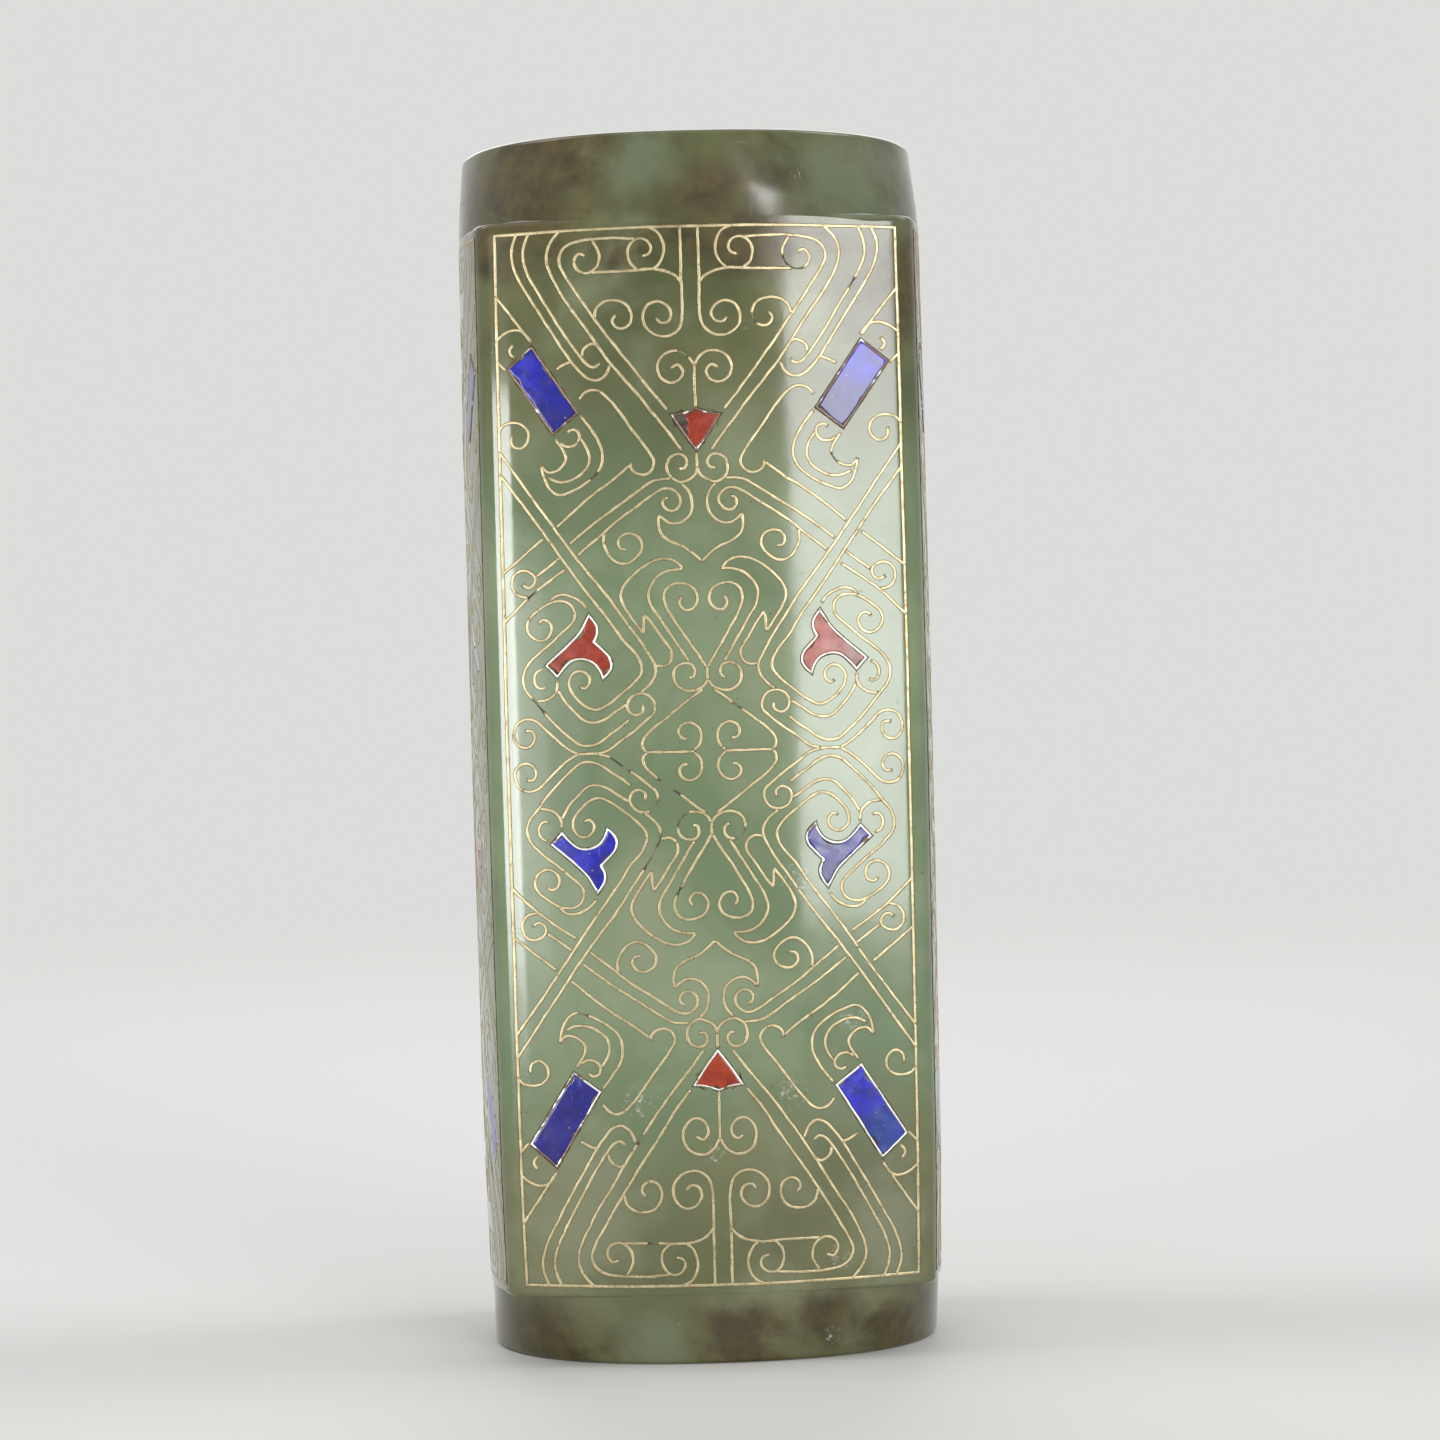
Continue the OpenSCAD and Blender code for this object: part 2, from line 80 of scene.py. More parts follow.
# The pattern, as the part's source has it: points for the right half of a face's upper half.
# By height, RISE gives the line that the lower half is mirrored in, and LEAN the drift sideways.
PATTERN_HALF = (26.3, 68.2)
RISE = [(20, 0.6), (40, 0.7), (47, 0.85), (50, 0.5), (54, 0.35), (62, 0)]
LEAN = [(10, 0), (20, -0.3), (32, -0.4), (38, -0.65), (50, -0.65), (57, -0.9)]

PATHS = {
    "band_wires": [
        [(23.1, 68.1), (23.8, 66), (23.7, 64.4), (22.9, 62.2), (21.3, 59.5), (19.7, 56.9), (17.9, 54.1),
         (16.3, 51.6), (15.2, 50.2), (14, 49.1), (12.8, 48.8), (11.7, 49.4), (11, 50.7)],
        [(21.4, 68.1), (22.1, 66.3), (22.2, 64.7), (21.4, 62.3), (20.2, 60.2), (18.7, 57.7), (17.2, 55.3),
         (15.8, 53.2), (14.7, 51.7), (13.8, 50.7), (13, 50.5), (12.3, 51)],
        [(12.4, 53.1), (13, 53.5), (13.8, 53.3), (14.5, 52.7), (14.6, 51.9)],
        [(17.1, 68.1), (18.3, 66.8), (19, 65.3), (18.9, 63.7), (18.2, 61.9), (16.8, 59.5), (14.6, 56.4),
         (12.6, 53.4), (10.7, 50.7), (8.8, 48.4), (6.9, 46.1), (4.9, 43.5), (3.2, 41.3), (1.9, 39.5)],
        [(7.1, 66.6), (10.5, 66.8), (13.8, 66.7), (16.1, 66.2), (17.1, 65.2), (17.3, 64.1), (16.7, 62.6),
         (15.4, 60.6), (13.9, 58.3), (12.4, 56.2), (10.9, 54.1), (9.4, 52.1), (7.5, 49.6), (5.8, 47.4),
         (3.7, 44.7)],
        [(15.9, 51.4), (17.1, 51), (18.2, 50.4)],
    ],
    "fan_wires": [
        [(12.8, 66.7), (11.9, 65), (12.2, 63.4), (13.6, 62.5), (14.9, 63), (15.3, 64.1), (14.6, 65),
         (13.8, 64.7)],
        [(5.6, 68.1), (4.2, 67.4), (3.4, 66), (3.4, 64.7), (4, 63.4), (4.8, 62.7)],
        [(6.8, 62.6), (7.8, 63.6), (8.1, 65), (7.7, 66), (6.8, 66.6), (5.6, 66.4), (5, 65.5), (5.3, 64.7),
         (6.2, 64.4)],
        [(13, 62.6), (8.5, 62.6), (4.6, 62.7), (2.9, 62.3), (1.8, 61.7), (1.15, 60.9)],
        [(1.15, 68.1), (1.15, 62), (1.15, 57), (1.5, 55.4), (2.4, 54.5), (3.7, 54.2), (5.1, 54.6),
         (6.1, 55.6), (6.3, 56.9), (5.7, 58.1), (4.5, 58.6), (3.3, 58.2), (2.6, 57.2), (3, 56.1),
         (4, 55.9), (4.6, 56.5)],
        [(12.8, 56.7), (12.4, 58), (11.3, 58.8), (9.9, 58.9), (8.5, 58.4), (7.8, 57.1), (8.1, 55.9),
         (9.1, 55.3), (10, 55.6), (10.4, 56.4), (9.9, 57.1)],
        [(0, 50.4), (0.7, 51.5), (1.8, 52.2), (3.1, 52.2), (4.3, 51.5), (4.8, 50.2), (4.4, 48.9),
         (3.2, 48.2), (2, 48.6), (1.5, 49.7), (2.2, 50.5), (3.1, 50.1)],
    ],
    "bar_wires": [
        [(26.2, 60.3), (23.8, 57.2), (21.4, 54)],
        [(21.4, 54.1), (22.6, 55.5), (23.8, 55.7), (25.2, 55.2), (26.2, 54.4)],
        [(23.9, 53.8), (24.4, 53.1), (24.3, 52.6), (23.8, 52.1)],
        [(26.2, 51.8), (24.9, 50.5)],
        [(15.1, 44.4), (13.5, 42.2), (12.5, 40.2), (12.4, 38.5), (12.9, 37.2), (14, 36.1), (15.4, 35.2),
         (17, 34.5), (18.3, 34.2), (19.4, 34.9), (20.2, 36.4), (20.55, 38.1)],
        [(20.55, 38.1), (19.7, 37.2), (18.6, 37.3), (17.7, 37.9), (17.2, 38.8), (17.5, 39.9),
         (18.5, 41.4)],
        [(15.2, 41.5), (14.4, 40.2), (14.1, 38.9), (14.5, 37.6), (15.7, 36.5), (17, 35.95), (18.3, 35.9),
         (19.7, 36.5)],
        [(17.9, 40.9), (17, 40.4), (15.9, 40.6), (15.35, 41.4), (15.5, 42.3), (16.4, 42.6), (16.9, 42.2)],
        [(26.2, 42.5), (25.5, 43.4), (24.4, 43.7), (23.1, 43.5), (22.2, 42.5), (22.3, 41.2), (23.2, 40.4),
         (24.2, 40.7), (24.5, 41.5), (24.4, 42.1)],
    ],
    "cross_wires": [
        [(15.2, 46.4), (14.4, 47.3), (13.5, 47.6), (12.5, 47.4), (11.4, 46.5), (10.1, 44.9), (8.6, 42.7),
         (7.2, 40.8), (6, 39.1), (5.6, 38.2), (5.9, 37.1), (6.9, 36.5), (7.9, 36.7), (8.6, 37.4),
         (8.6, 38.1)],
        [(8.7, 37.8), (11, 36), (13.4, 34.4), (15.8, 32.6), (18.8, 30)],
        [(0, 37.4), (0.3, 36.4), (1.2, 35.7), (2.3, 35.4), (3.5, 36.1), (3.95, 37.3), (3.6, 38.5),
         (2.6, 39), (1.7, 38.8), (1.3, 38), (1.7, 37.2), (2.4, 37.2)],
        [(3.6, 35.9), (5.7, 35.7), (7.2, 34.9), (9.4, 33.4), (11.5, 32), (13.7, 30.5), (15.7, 29),
         (17.2, 27.8)],
        [(16.2, 26.3), (15, 27.3), (13.3, 28.6), (11.3, 30.3), (9.4, 31.6), (7.6, 32.8), (6, 33.9),
         (4.6, 34.6), (3.5, 34.5), (2.6, 33.7), (2.5, 32.7), (3.2, 31.8), (4.2, 31.8), (4.8, 32.6),
         (4.6, 33.3), (4, 33.5)],
        [(2.2, 35.2), (1.3, 34.2), (0.95, 32.8), (1.3, 31.3), (2.4, 30.3), (3.8, 30.1), (4.8, 30.7),
         (5.4, 31.3)],
        [(5.4, 31.3), (5.45, 30), (5.1, 28.7), (4, 27.8), (2.4, 27.1), (1.1, 26.2), (0, 25.15)],
        [(12.6, 29.1), (12.7, 27.9), (12.2, 26.5), (11.2, 25.4), (9.9, 25.1), (8.6, 25.8), (7.7, 27.1),
         (8, 28.4), (9.1, 29), (10.2, 28.8), (10.8, 28), (10.5, 27.1), (9.7, 26.9)],
    ],
    "strap_wires": [
        [(26.2, 40.1), (23.2, 35.8), (20.1, 31.3), (16, 25.5), (12.6, 21.1), (9.9, 17.1), (8.5, 15.1),
         (7.5, 13.4), (6.7, 11.8), (6.75, 10.6), (7.5, 9.4), (8.7, 8.4)],
        [(26.2, 37.1), (22.7, 32.4), (19.1, 27.2), (15.5, 22), (12.6, 18.1), (10.6, 15.1), (9.2, 13.5),
         (8.5, 12.1), (8.5, 11), (9.3, 9.9), (11, 8.4), (13, 6.9), (14.4, 6.3), (15.5, 6.6), (16.8, 7.6),
         (17.8, 9), (17.9, 10.2), (17.1, 11.2), (16.1, 11.3), (15.3, 10.6), (15.3, 9.7), (15.9, 9.1),
         (16.5, 9.4)],
        [(20.6, 28.6), (23.5, 26.3), (26.2, 24.1)],
        [(18.5, 26.1), (20.2, 24.8), (21.7, 23.7)],
        [(22.9, 21), (24.2, 21.4), (24.9, 22.5), (24.7, 23.8), (23.8, 24.5), (22.7, 24.4), (21.9, 23.7),
         (22, 22.8), (22.8, 22.3), (23.6, 22.8)],
        [(17.9, 24.5), (20.8, 22.5), (22.9, 20.9), (26.2, 17.7)],
    ],
    "feather_wires": [
        [(2.5, 24.2), (3.3, 25.1), (4.6, 25.6), (6.2, 25.4), (7.7, 24.6), (9.2, 23.4), (10.3, 22.1),
         (10.7, 20.8), (10.2, 19.3), (9.2, 17.7), (7.9, 15.9)],
        [(7.9, 15.9), (7.9, 17.2), (7.75, 18.5)],
        [(7.75, 18.5), (6.8, 17.2), (5.5, 15.2), (4.5, 13.6), (4.6, 12.4), (5.5, 11.7), (6.6, 11.8)],
        [(2.5, 24.2), (4, 24.1), (5.4, 23.6), (6.6, 22.4), (7.1, 21.1), (6.8, 19.6), (5.7, 17.8),
         (4.4, 15.6), (3, 13.3), (2.3, 12.2)],
        [(0.1, 11.4), (1, 13), (2.3, 15), (3.6, 17.1), (4.7, 19.1), (5.1, 20.5), (4.8, 21.6), (3.7, 22.3),
         (2.3, 22.2), (1.1, 21.5), (0.75, 20.2), (1.4, 19.1), (2.4, 18.9), (3.1, 19.8), (2.7, 20.7)],
        [(0, 9.9), (0.6, 9), (1.7, 8.5), (2.9, 8.5), (4, 9.2), (4.4, 10.4), (4, 11.5), (3, 12), (2, 11.8),
         (1.6, 11), (1.9, 10.2), (2.4, 10.1)],
    ],
    "hook_wires": [
        [(10.3, 4.9), (11.4, 4), (12.6, 3.2), (14.1, 2.1), (15.5, 1.65), (16.8, 1.85), (18.1, 2.9),
         (20.1, 4.8), (22.4, 7.6), (23.5, 9), (23.9, 10.5), (23.5, 11.8), (22.1, 13.4), (20.4, 14.7),
         (18.6, 16.3), (17, 17.9), (16.8, 19), (17.3, 20), (18.5, 20.5), (19.9, 20.3), (21.6, 19.3),
         (22.8, 18.2), (23.1, 17.1), (22.6, 16), (21.5, 15.4), (20.4, 15.8), (19.9, 16.9), (20.2, 17.8),
         (21, 18.1), (21.6, 17.6)],
        [(15.2, 19.4), (15.9, 20.3), (17, 21), (18.3, 21.3), (19.4, 21), (20, 20.3)],
        [(21.3, 11.8), (22.1, 11.3), (22.4, 10.4), (22.1, 9.5), (21.5, 9.2), (21, 9.4)],
        [(19.4, 10.2), (19.6, 8.8), (20.7, 7.8), (22.2, 7.55)],
        [(19.4, 9), (18.4, 7.3), (17.2, 6), (16, 4.9), (14.9, 4.65), (13.5, 5), (11.9, 6.1), (10.6, 6.9)],
        [(16.9, 0.6), (18.2, 1.3), (19.9, 2.7), (21.2, 4), (22.3, 5), (23.5, 5.3), (24.7, 4.8),
         (25.2, 3.6), (25, 2.3), (24, 1.6), (23, 1.9), (22.5, 2.9), (22.9, 3.75), (23.8, 3.75)],
    ],
    "lozenge_wires": [
        [(14.4, 0.65), (13.1, 1), (11.3, 2.3), (9.6, 3.5), (7.9, 4.9), (7, 5.8), (7, 7), (7.7, 8),
         (8.9, 8.3), (10, 7.8), (10.5, 6.8), (10.2, 5.8), (9.3, 5.4), (8.5, 5.9), (8.5, 6.8)],
        [(0.7, 8.6), (2, 7.7), (5.1, 5.3), (7.2, 3.7), (8.3, 2.6), (8.65, 1.8), (8.5, 1), (8.1, 0.65)],
        [(2.1, 0.65), (1.3, 1.5), (1.05, 2.7), (1.5, 3.8), (2.65, 4.35), (3.7, 3.9), (4, 3), (3.5, 2.3),
         (2.9, 2.3)],
    ],
}
# Wires that lie on the face's upright axis, or on its middle line
CENTRE_PATHS = {
    "fan_wires": [[(0, 45), (0, 48), (0, 50.6)]],
    "cross_wires": [[(0, 39.2), (0, 38.2), (0, 37.2)]],
    "feather_wires": [[(0, 11.6), (0, 9.7)]],
}
MIDDLE_PATHS = {
    "lozenge_wires": [[(14.2, 0.6), (15.6, 0.6), (17.1, 0.6)], [(8.2, 0.6), (5, 0.6), (2, 0.6)]],
}

# Outlines of the stones with their silver cells; a True point is a sharp corner
BAR_TILE = [(21.35, 53.6, True), (24.85, 50.7, True), (18.85, 41.9, True), (15.3, 44.7, True)]
WEDGE_TILE = [(0, 39.3, True), (1.75, 41.7, False), (3.35, 44.2, True), (1.7, 44.4, False),
              (0, 45, True), (-1.7, 44.4, False), (-3.35, 44.2, True), (-1.75, 41.7, False)]
HOOK_TILE = [(15, 18.8, True), (15.5, 17.9, False), (16.4, 16.4, False), (18, 14.8, False),
             (19.7, 13.3, False), (20.95, 12.2, True), (19.4, 10.5, True), (18.4, 11.7, False),
             (17.3, 12.6, False), (16, 12.75, False), (14.7, 12.2, False), (13.9, 11.1, False),
             (13.6, 10.1, True), (12.7, 10.9, False), (12.2, 11.9, False), (12.4, 13, False),
             (13.3, 14.1, False), (14.3, 15.1, True), (13.9, 16, False), (13.9, 17.1, False),
             (14.4, 18, False)]


def placed(u, v, across, up):
    """A pattern point on one quarter of a face, with the maker's drift and the ends' outward bow."""
    if up < 0:
        v = 2 * np.interp(v, *zip(*RISE)) - v
    room = 1 - (u / PATTERN_HALF[0]) ** 2
    u = across * u + np.interp(v, *zip(*LEAN)) * room
    bow = END_BOW * room * (v / PATTERN_HALF[1]) ** 5
    return u * FRAME_HALF_W / PATTERN_HALF[0], v * FRAME_HALF_H / PATTERN_HALF[1] + bow


# The hand-cut tube draws in a little towards its foot
DRAW_IN = [(0, 0.972), (10, 0.976), (25, 0.988), (50, 0.994), (80, 1.0), (125, 1.0), (160, 0.996)]


def draw_in(z):
    return np.interp(z, *zip(*DRAW_IN))


def on_panel(face, u, v, lift):
    """Points on a face, in metres: u across, v up from the panel's middle, lift out of the jade."""
    u, v, lift = (np.asarray(a, float) for a in (u, v, lift))
    z = PANEL_Z + v
    k = draw_in(z)
    lean = np.sqrt(FACE_R ** 2 - u ** 2) / FACE_R
    x = (u + lift * u / FACE_R) * k
    y = -(FACE_REACH - FACE_R + (FACE_R + lift) * lean) * k
    s, c = math.sin(math.radians(90 * face)), math.cos(math.radians(90 * face))
    return np.stack([x * c - y * s, x * s + y * c, z + 0 * x], -1) * MM


def catmull_rom(points, step=WIRE_STEP):
    """A smooth curve through points, with a sample about every step."""
    p = [np.array(q, float) for q in points]
    if len(p) == 2:
        n = max(2, int(np.linalg.norm(p[1] - p[0]) / step))
        return [p[0] + (p[1] - p[0]) * i / n for i in range(n + 1)]
    p = [2 * p[0] - p[1]] + p + [2 * p[-1] - p[-2]]
    out = []
    for a, b, c, d in zip(p, p[1:], p[2:], p[3:]):
        t0 = 0
        t1 = t0 + math.sqrt(np.linalg.norm(b - a))
        t2 = t1 + math.sqrt(np.linalg.norm(c - b))
        t3 = t2 + math.sqrt(np.linalg.norm(d - c))
        n = max(2, int(round(np.linalg.norm(c - b) / step)))
        for i in range(n):
            t = t1 + (t2 - t1) * i / n
            ab = a * (t1 - t) / (t1 - t0) + b * (t - t0) / (t1 - t0)
            bc = b * (t2 - t) / (t2 - t1) + c * (t - t1) / (t2 - t1)
            cd = c * (t3 - t) / (t3 - t2) + d * (t - t2) / (t3 - t2)
            abc = ab * (t2 - t) / (t2 - t0) + bc * (t - t0) / (t2 - t0)
            bcd = bc * (t3 - t) / (t3 - t1) + cd * (t - t1) / (t3 - t1)
            out.append(abc * (t2 - t) / (t2 - t1) + bcd * (t - t1) / (t2 - t1))
    out.append(p[-2])
    return out


def sides(points):
    """Unit normals in the plane, to the left of an open path."""
    p = np.array(points)
    d = np.gradient(p, axis=0)
    d /= np.linalg.norm(d, axis=1)[:, None]
    return np.stack([-d[:, 1], d[:, 0]], -1)


def wobble(s, seed, size):
    """Smooth noise along a length, from about -1 to 1."""
    return np.array([noise.noise(Vector((t / size, seed * 7.31, seed * 1.7))) for t in s])


class Shape:
    """Vertices and faces gathered for one mesh."""

    def __init__(self):
        self.points = []
        self.faces = []
        self.count = 0

    def add(self, points, faces):
        self.points.append(np.asarray(points))
        self.faces += [tuple(i + self.count for i in f) for f in faces]
        self.count += len(points)

    def build(self, name, material):
        mesh = bpy.data.meshes.new(name)
        mesh.from_pydata(np.concatenate(self.points).tolist(), [], self.faces)
        mesh.validate()
        mesh.materials.append(material)
        mesh.polygons.foreach_set("use_smooth", [True] * len(mesh.polygons))
        made = bpy.data.objects.new(name, mesh)
        bpy.context.scene.collection.objects.link(made)
        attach(made, "root")
        return made


def sweep_faces(rings, around, closed=False):
    """Quads between rings of points, with end caps on an open sweep."""
    faces = []
    for i in range(rings if closed else rings - 1):
        a, b = i * around, (i + 1) % rings * around
        for j in range(around):
            k = (j + 1) % around
            faces.append((a + j, a + k, b + k, b + j))
    if not closed:
        faces.append(tuple(range(around))[::-1])
        faces.append(tuple((rings - 1) * around + j for j in range(around)))
    return faces


def ribbon(shape, face, path, half_left, half_right, section, closed=False):
    """A strip along a path: section lists (share of the half width, lift) from left to right."""
    p = np.array(path)
    side = sides(np.concatenate([p[-1:], p, p[:1]]))[1:-1] if closed else sides(p)
    rings = []
    for share, lift in section:
        half = half_left if share > 0 else half_right
        q = p + side * (share * half)[:, None]
        rings.append(on_panel(face, q[:, 0], q[:, 1], np.full(len(p), lift)))
    points = np.stack(rings, 1).reshape(-1, 3)
    shape.add(points, sweep_faces(len(p), len(section), closed))


# Profiles across the gold wire and the channel that it lies in: share of the half width, and lift
WIRE_SECTION = [(1, -0.2), (1, 0.0), (0.86, 0.026), (0.55, 0.032), (-0.55, 0.032), (-0.86, 0.026), (-1, 0.0),
                (-1, -0.2)]
CHANNEL_SECTION = [(1, -0.1), (1, 0.004), (0.6, 0.007), (-0.6, 0.007), (-1, 0.004), (-1, -0.1)]
CHANNEL_MARGIN = 0.035

# Stretches where the gold is lost: face, group, path, half across, half up, and the path's shares from and to
LOST = [
    (0, "lozenge_wires", 0, -1, -1, 0.10, 0.24),
    (0, "lozenge_wires", 0, -1, -1, 0.55, 0.62),
    (0, "lozenge_wires", 1, 1, 1, 0.30, 0.36),
    (0, "lozenge_wires", 1, -1, -1, 0.35, 0.62),
    (0, "hook_wires", 0, -1, 1, 0.30, 0.34),
    (0, "strap_wires", 0, -1, -1, 0.78, 0.9),
    (0, "feather_wires", 5, -1, -1, 0.3, 0.52),
    (0, "feather_wires", 5, 1, -1, 0.55, 0.7),
    (0, "fan_wires", 0, 1, 1, 0.3, 0.6),
    (0, "fan_wires", 6, -1, 1, 0.1, 0.2),
]

GROUP_SEED = {g: i for i, g in enumerate(PATHS)}
# A wire is broken once where its noise is over the threshold and it has enough samples; the gap is in mm
BREAK_THRESHOLD = 0.40
BREAK_MIN_SAMPLES = 24
BREAK_GAP = 1.1


def gold_left(face, group, index, across, up, count):
    """Which samples of a wire still hold gold."""
    share = np.linspace(0, 1, count)
    keep = np.ones(count, bool)
    for f, g, i, a, b, start, end in LOST:
        if (f, g, i, a, b) == (face, group, index, across, up):
            keep &= (share < start) | (share > end)
    seed = face * 911 + GROUP_SEED[group] * 37 + index * 5 + across + 2 * up
    pick = noise.noise(Vector((seed * 0.731, 3.3, 1.1)))
    if pick > BREAK_THRESHOLD and count > BREAK_MIN_SAMPLES:
        start = 0.5 + 0.4 * noise.noise(Vector((seed * 0.417, 8.1, 0.3)))
        keep &= (share < start) | (share > start + BREAK_GAP / (count * WIRE_STEP))
    return keep


def runs(keep):
    """Start and end of each stretch of True, three samples or longer."""
    out = []
    start = None
    for i, k in enumerate(list(keep) + [False]):
        if k and start is None:
            start = i
        if not k and start is not None:
            if i - start >= 3:
                out.append((start, i))
            start = None
    return out


def copies(group):
    """Every copy of a group's paths on a face: index, half across, half up, pattern points."""
    for index, path in enumerate(PATHS[group]):
        for across in (-1, 1):
            for up in (-1, 1):
                yield index, across, up, path
    for index, path in enumerate(CENTRE_PATHS.get(group, [])):
        for up in (-1, 1):
            yield 40 + index, 1, up, path
    for index, path in enumerate(MIDDLE_PATHS.get(group, [])):
        for across in (-1, 1):
            yield 60 + index, across, 1, path


def wire_group(face, group, gold_shape, channel_shape):
    """Gold wires of one group on one face, with a hand's small swells, and the channels they lie in."""
    for index, across, up, path in copies(group):
        points = catmull_rom([placed(u, v, across, up) for u, v in path])
        n = len(points)
        seed = face * 101 + GROUP_SEED[group] * 17 + index * 3 + across + up * 0.5
        along = np.arange(n) * WIRE_STEP
        drift = 0.05 * wobble(along, seed, 2.6) + 0.035 * wobble(along, seed + 20, 0.9)
        points = np.array(points) + sides(points) * drift[:, None]
        left = WIRE_W / 2 * (1 + 0.3 * wobble(along, seed + 50, 0.9))
        right = WIRE_W / 2 * (1 + 0.3 * wobble(along, seed + 90, 1.1))
        keep = gold_left(face, group, index, across, up, n)
        open_share = np.where(keep, 1.0, 0.5)
        ribbon(channel_shape, face, points, left * open_share + CHANNEL_MARGIN,
               right * open_share + CHANNEL_MARGIN, CHANNEL_SECTION)
        for start, end in runs(keep):
            part = slice(start, end)
            taper = np.ones(end - start)
            taper[0] = taper[-1] = 0.7
            ribbon(gold_shape, face, points[part], left[part] * taper, right[part] * taper, WIRE_SECTION)


def frame_path(face, inset):
    """The frame's four sides as one closed path, a little wavy and bowed at the ends."""
    w, h = FRAME_HALF_W - inset, FRAME_HALF_H - inset
    across = np.linspace(-w, w, int(2 * w / FRAME_STEP))
    along = np.linspace(-h, h, int(2 * h / FRAME_STEP))
    bow = END_BOW * (1 - (across / FRAME_HALF_W) ** 2)
    run = [(x, -h - b) for x, b in zip(across[:-1], bow)]
    run += [(w, y) for y in along[:-1]]
    run += [(x, h + b) for x, b in zip(across[:0:-1], bow[:0:-1])]
    run += [(-w, y) for y in along[:0:-1]]
    p = np.array(run)
    t = np.arange(len(p)) * FRAME_STEP
    p[:, 0] += 0.05 * wobble(t, face + 11, 9)
    p[:, 1] += 0.05 * wobble(t, face + 23, 9)
    return p, t


def frame_strip(face, gold_shape, channel_shape):
    """The gold strip round a face and its channel."""
    p, t = frame_path(face, FRAME_STRIP / 2)
    left = FRAME_STRIP / 2 * (1 + 0.16 * wobble(t, face + 31, 2.2))
    right = FRAME_STRIP / 2 * (1 + 0.16 * wobble(t, face + 47, 2.2))
    ribbon(channel_shape, face, p, left + CHANNEL_MARGIN, right + CHANNEL_MARGIN, CHANNEL_SECTION,
           closed=True)
    ribbon(gold_shape, face, p, left, right, WIRE_SECTION, closed=True)


def tile_outline(tile, across, up):
    """A stone cell's outline on the face: smooth between its sharp corners."""
    pts = [(placed(u, v, across, up), sharp) for u, v, sharp in tile]
    corners = [i for i, (_, sharp) in enumerate(pts) if sharp]
    out = []
    for a, b in zip(corners, corners[1:] + [corners[0] + len(pts)]):
        stretch = [pts[i % len(pts)][0] for i in range(a, b + 1)]
        out += catmull_rom(stretch, OUTLINE_STEP)[:-1]
    p = np.array(out)
    area = 0.5 * np.sum(p[:, 0] * np.roll(p[:, 1], -1) - np.roll(p[:, 0], -1) * p[:, 1])
    return p if area > 0 else p[::-1]


def inset_outline(p, distance):
    """A counter-clockwise outline moved inwards, with short mitres."""
    d = np.roll(p, -1, 0) - p
    d /= np.linalg.norm(d, axis=1)[:, None]
    n_after = np.stack([-d[:, 1], d[:, 0]], -1)
    n_before = np.roll(n_after, 1, 0)
    m = n_after + n_before
    m /= np.maximum(np.linalg.norm(m, axis=1), 1e-6)[:, None]
    reach = distance / np.maximum(np.sum(m * n_after, 1), 0.6)
    return p + m * reach[:, None]


# A stone's soft edge and its top's lift, and the grid of points on its top: spacing and room to the rim
STONE_EDGE = 0.09
STONE_TOP = 0.07
GRID_STEP = 0.75
GRID_START = 0.4
GRID_ROOM = 0.3


def stone(shape, face, outline, seed):
    """A polished stone that fills its cell: soft edge, slightly uneven top."""
    rim = inset_outline(outline, STONE_EDGE + 0.1)
    low, high = rim.min(0), rim.max(0)
    grid = []
    closed = np.concatenate([rim, rim[:1]])
    for x in np.arange(low[0] + GRID_START, high[0], GRID_STEP):
        for y in np.arange(low[1] + GRID_START, high[1], GRID_STEP):
            if inside((x, y), rim) and distance_to(closed, (x, y)) > GRID_ROOM:
                grid.append((x, y))
    verts = [Vector(q) for q in rim.tolist() + grid]
    n = len(rim)
    edges = [(i, (i + 1) % n) for i in range(n)]
    flat, _, faces, *_ = delaunay_2d_cdt(verts, edges, [], 1, 1e-5)
    flat = np.array([tuple(q) for q in flat])
    lift = np.array([STONE_TOP + 0.012 * noise.noise(Vector((x * 0.9, y * 0.9, seed))) for x, y in flat])
    ring_sets = [(outline, -0.5), (outline, 0.02), (inset_outline(outline, STONE_EDGE * 0.35), 0.05),
                 (inset_outline(outline, STONE_EDGE), STONE_TOP)]
    rings = [on_panel(face, q[:, 0], q[:, 1], np.full(n, z)) for q, z in ring_sets]
    top = on_panel(face, flat[:, 0], flat[:, 1], lift)
    points = np.concatenate(rings + [top])
    quads = []
    last = len(ring_sets) - 1
    for r in range(last):
        for i in range(n):
            k = (i + 1) % n
            quads.append((r * n + i, r * n + k, (r + 1) * n + k, (r + 1) * n + i))
    match = nearest(flat, rim)
    inner = (last + 1) * n
    for i in range(n):
        k = (i + 1) % n
        if match[i] != match[k]:
            quads.append((last * n + i, last * n + k, inner + match[k], inner + match[i]))
    quads += [tuple(inner + j for j in f) for f in faces]
    quads.append(tuple(range(n))[::-1])
    shape.add(points, quads)


def nearest(points, targets):
    """For each target, the index of the point nearest to it."""
    return [int(np.argmin(np.sum((points - t) ** 2, 1))) for t in targets]


def inside(q, loop):
    """Whether a point lies inside a closed outline."""
    x, y = q
    hit = False
    for (ax, ay), (bx, by) in zip(loop, np.roll(loop, -1, 0)):
        if (ay > y) != (by > y) and x < (bx - ax) * (y - ay) / (by - ay) + ax:
            hit = not hit
    return hit


def distance_to(closed, q):
    """Distance from a point to an outline whose first point is repeated at its end."""
    a, b = closed[:-1], closed[1:]
    q = np.array(q)
    t = np.clip(np.sum((q - a) * (b - a), 1) / np.maximum(np.sum((b - a) ** 2, 1), 1e-9), 0, 1)
    return np.min(np.linalg.norm(a + (b - a) * t[:, None] - q, axis=1))


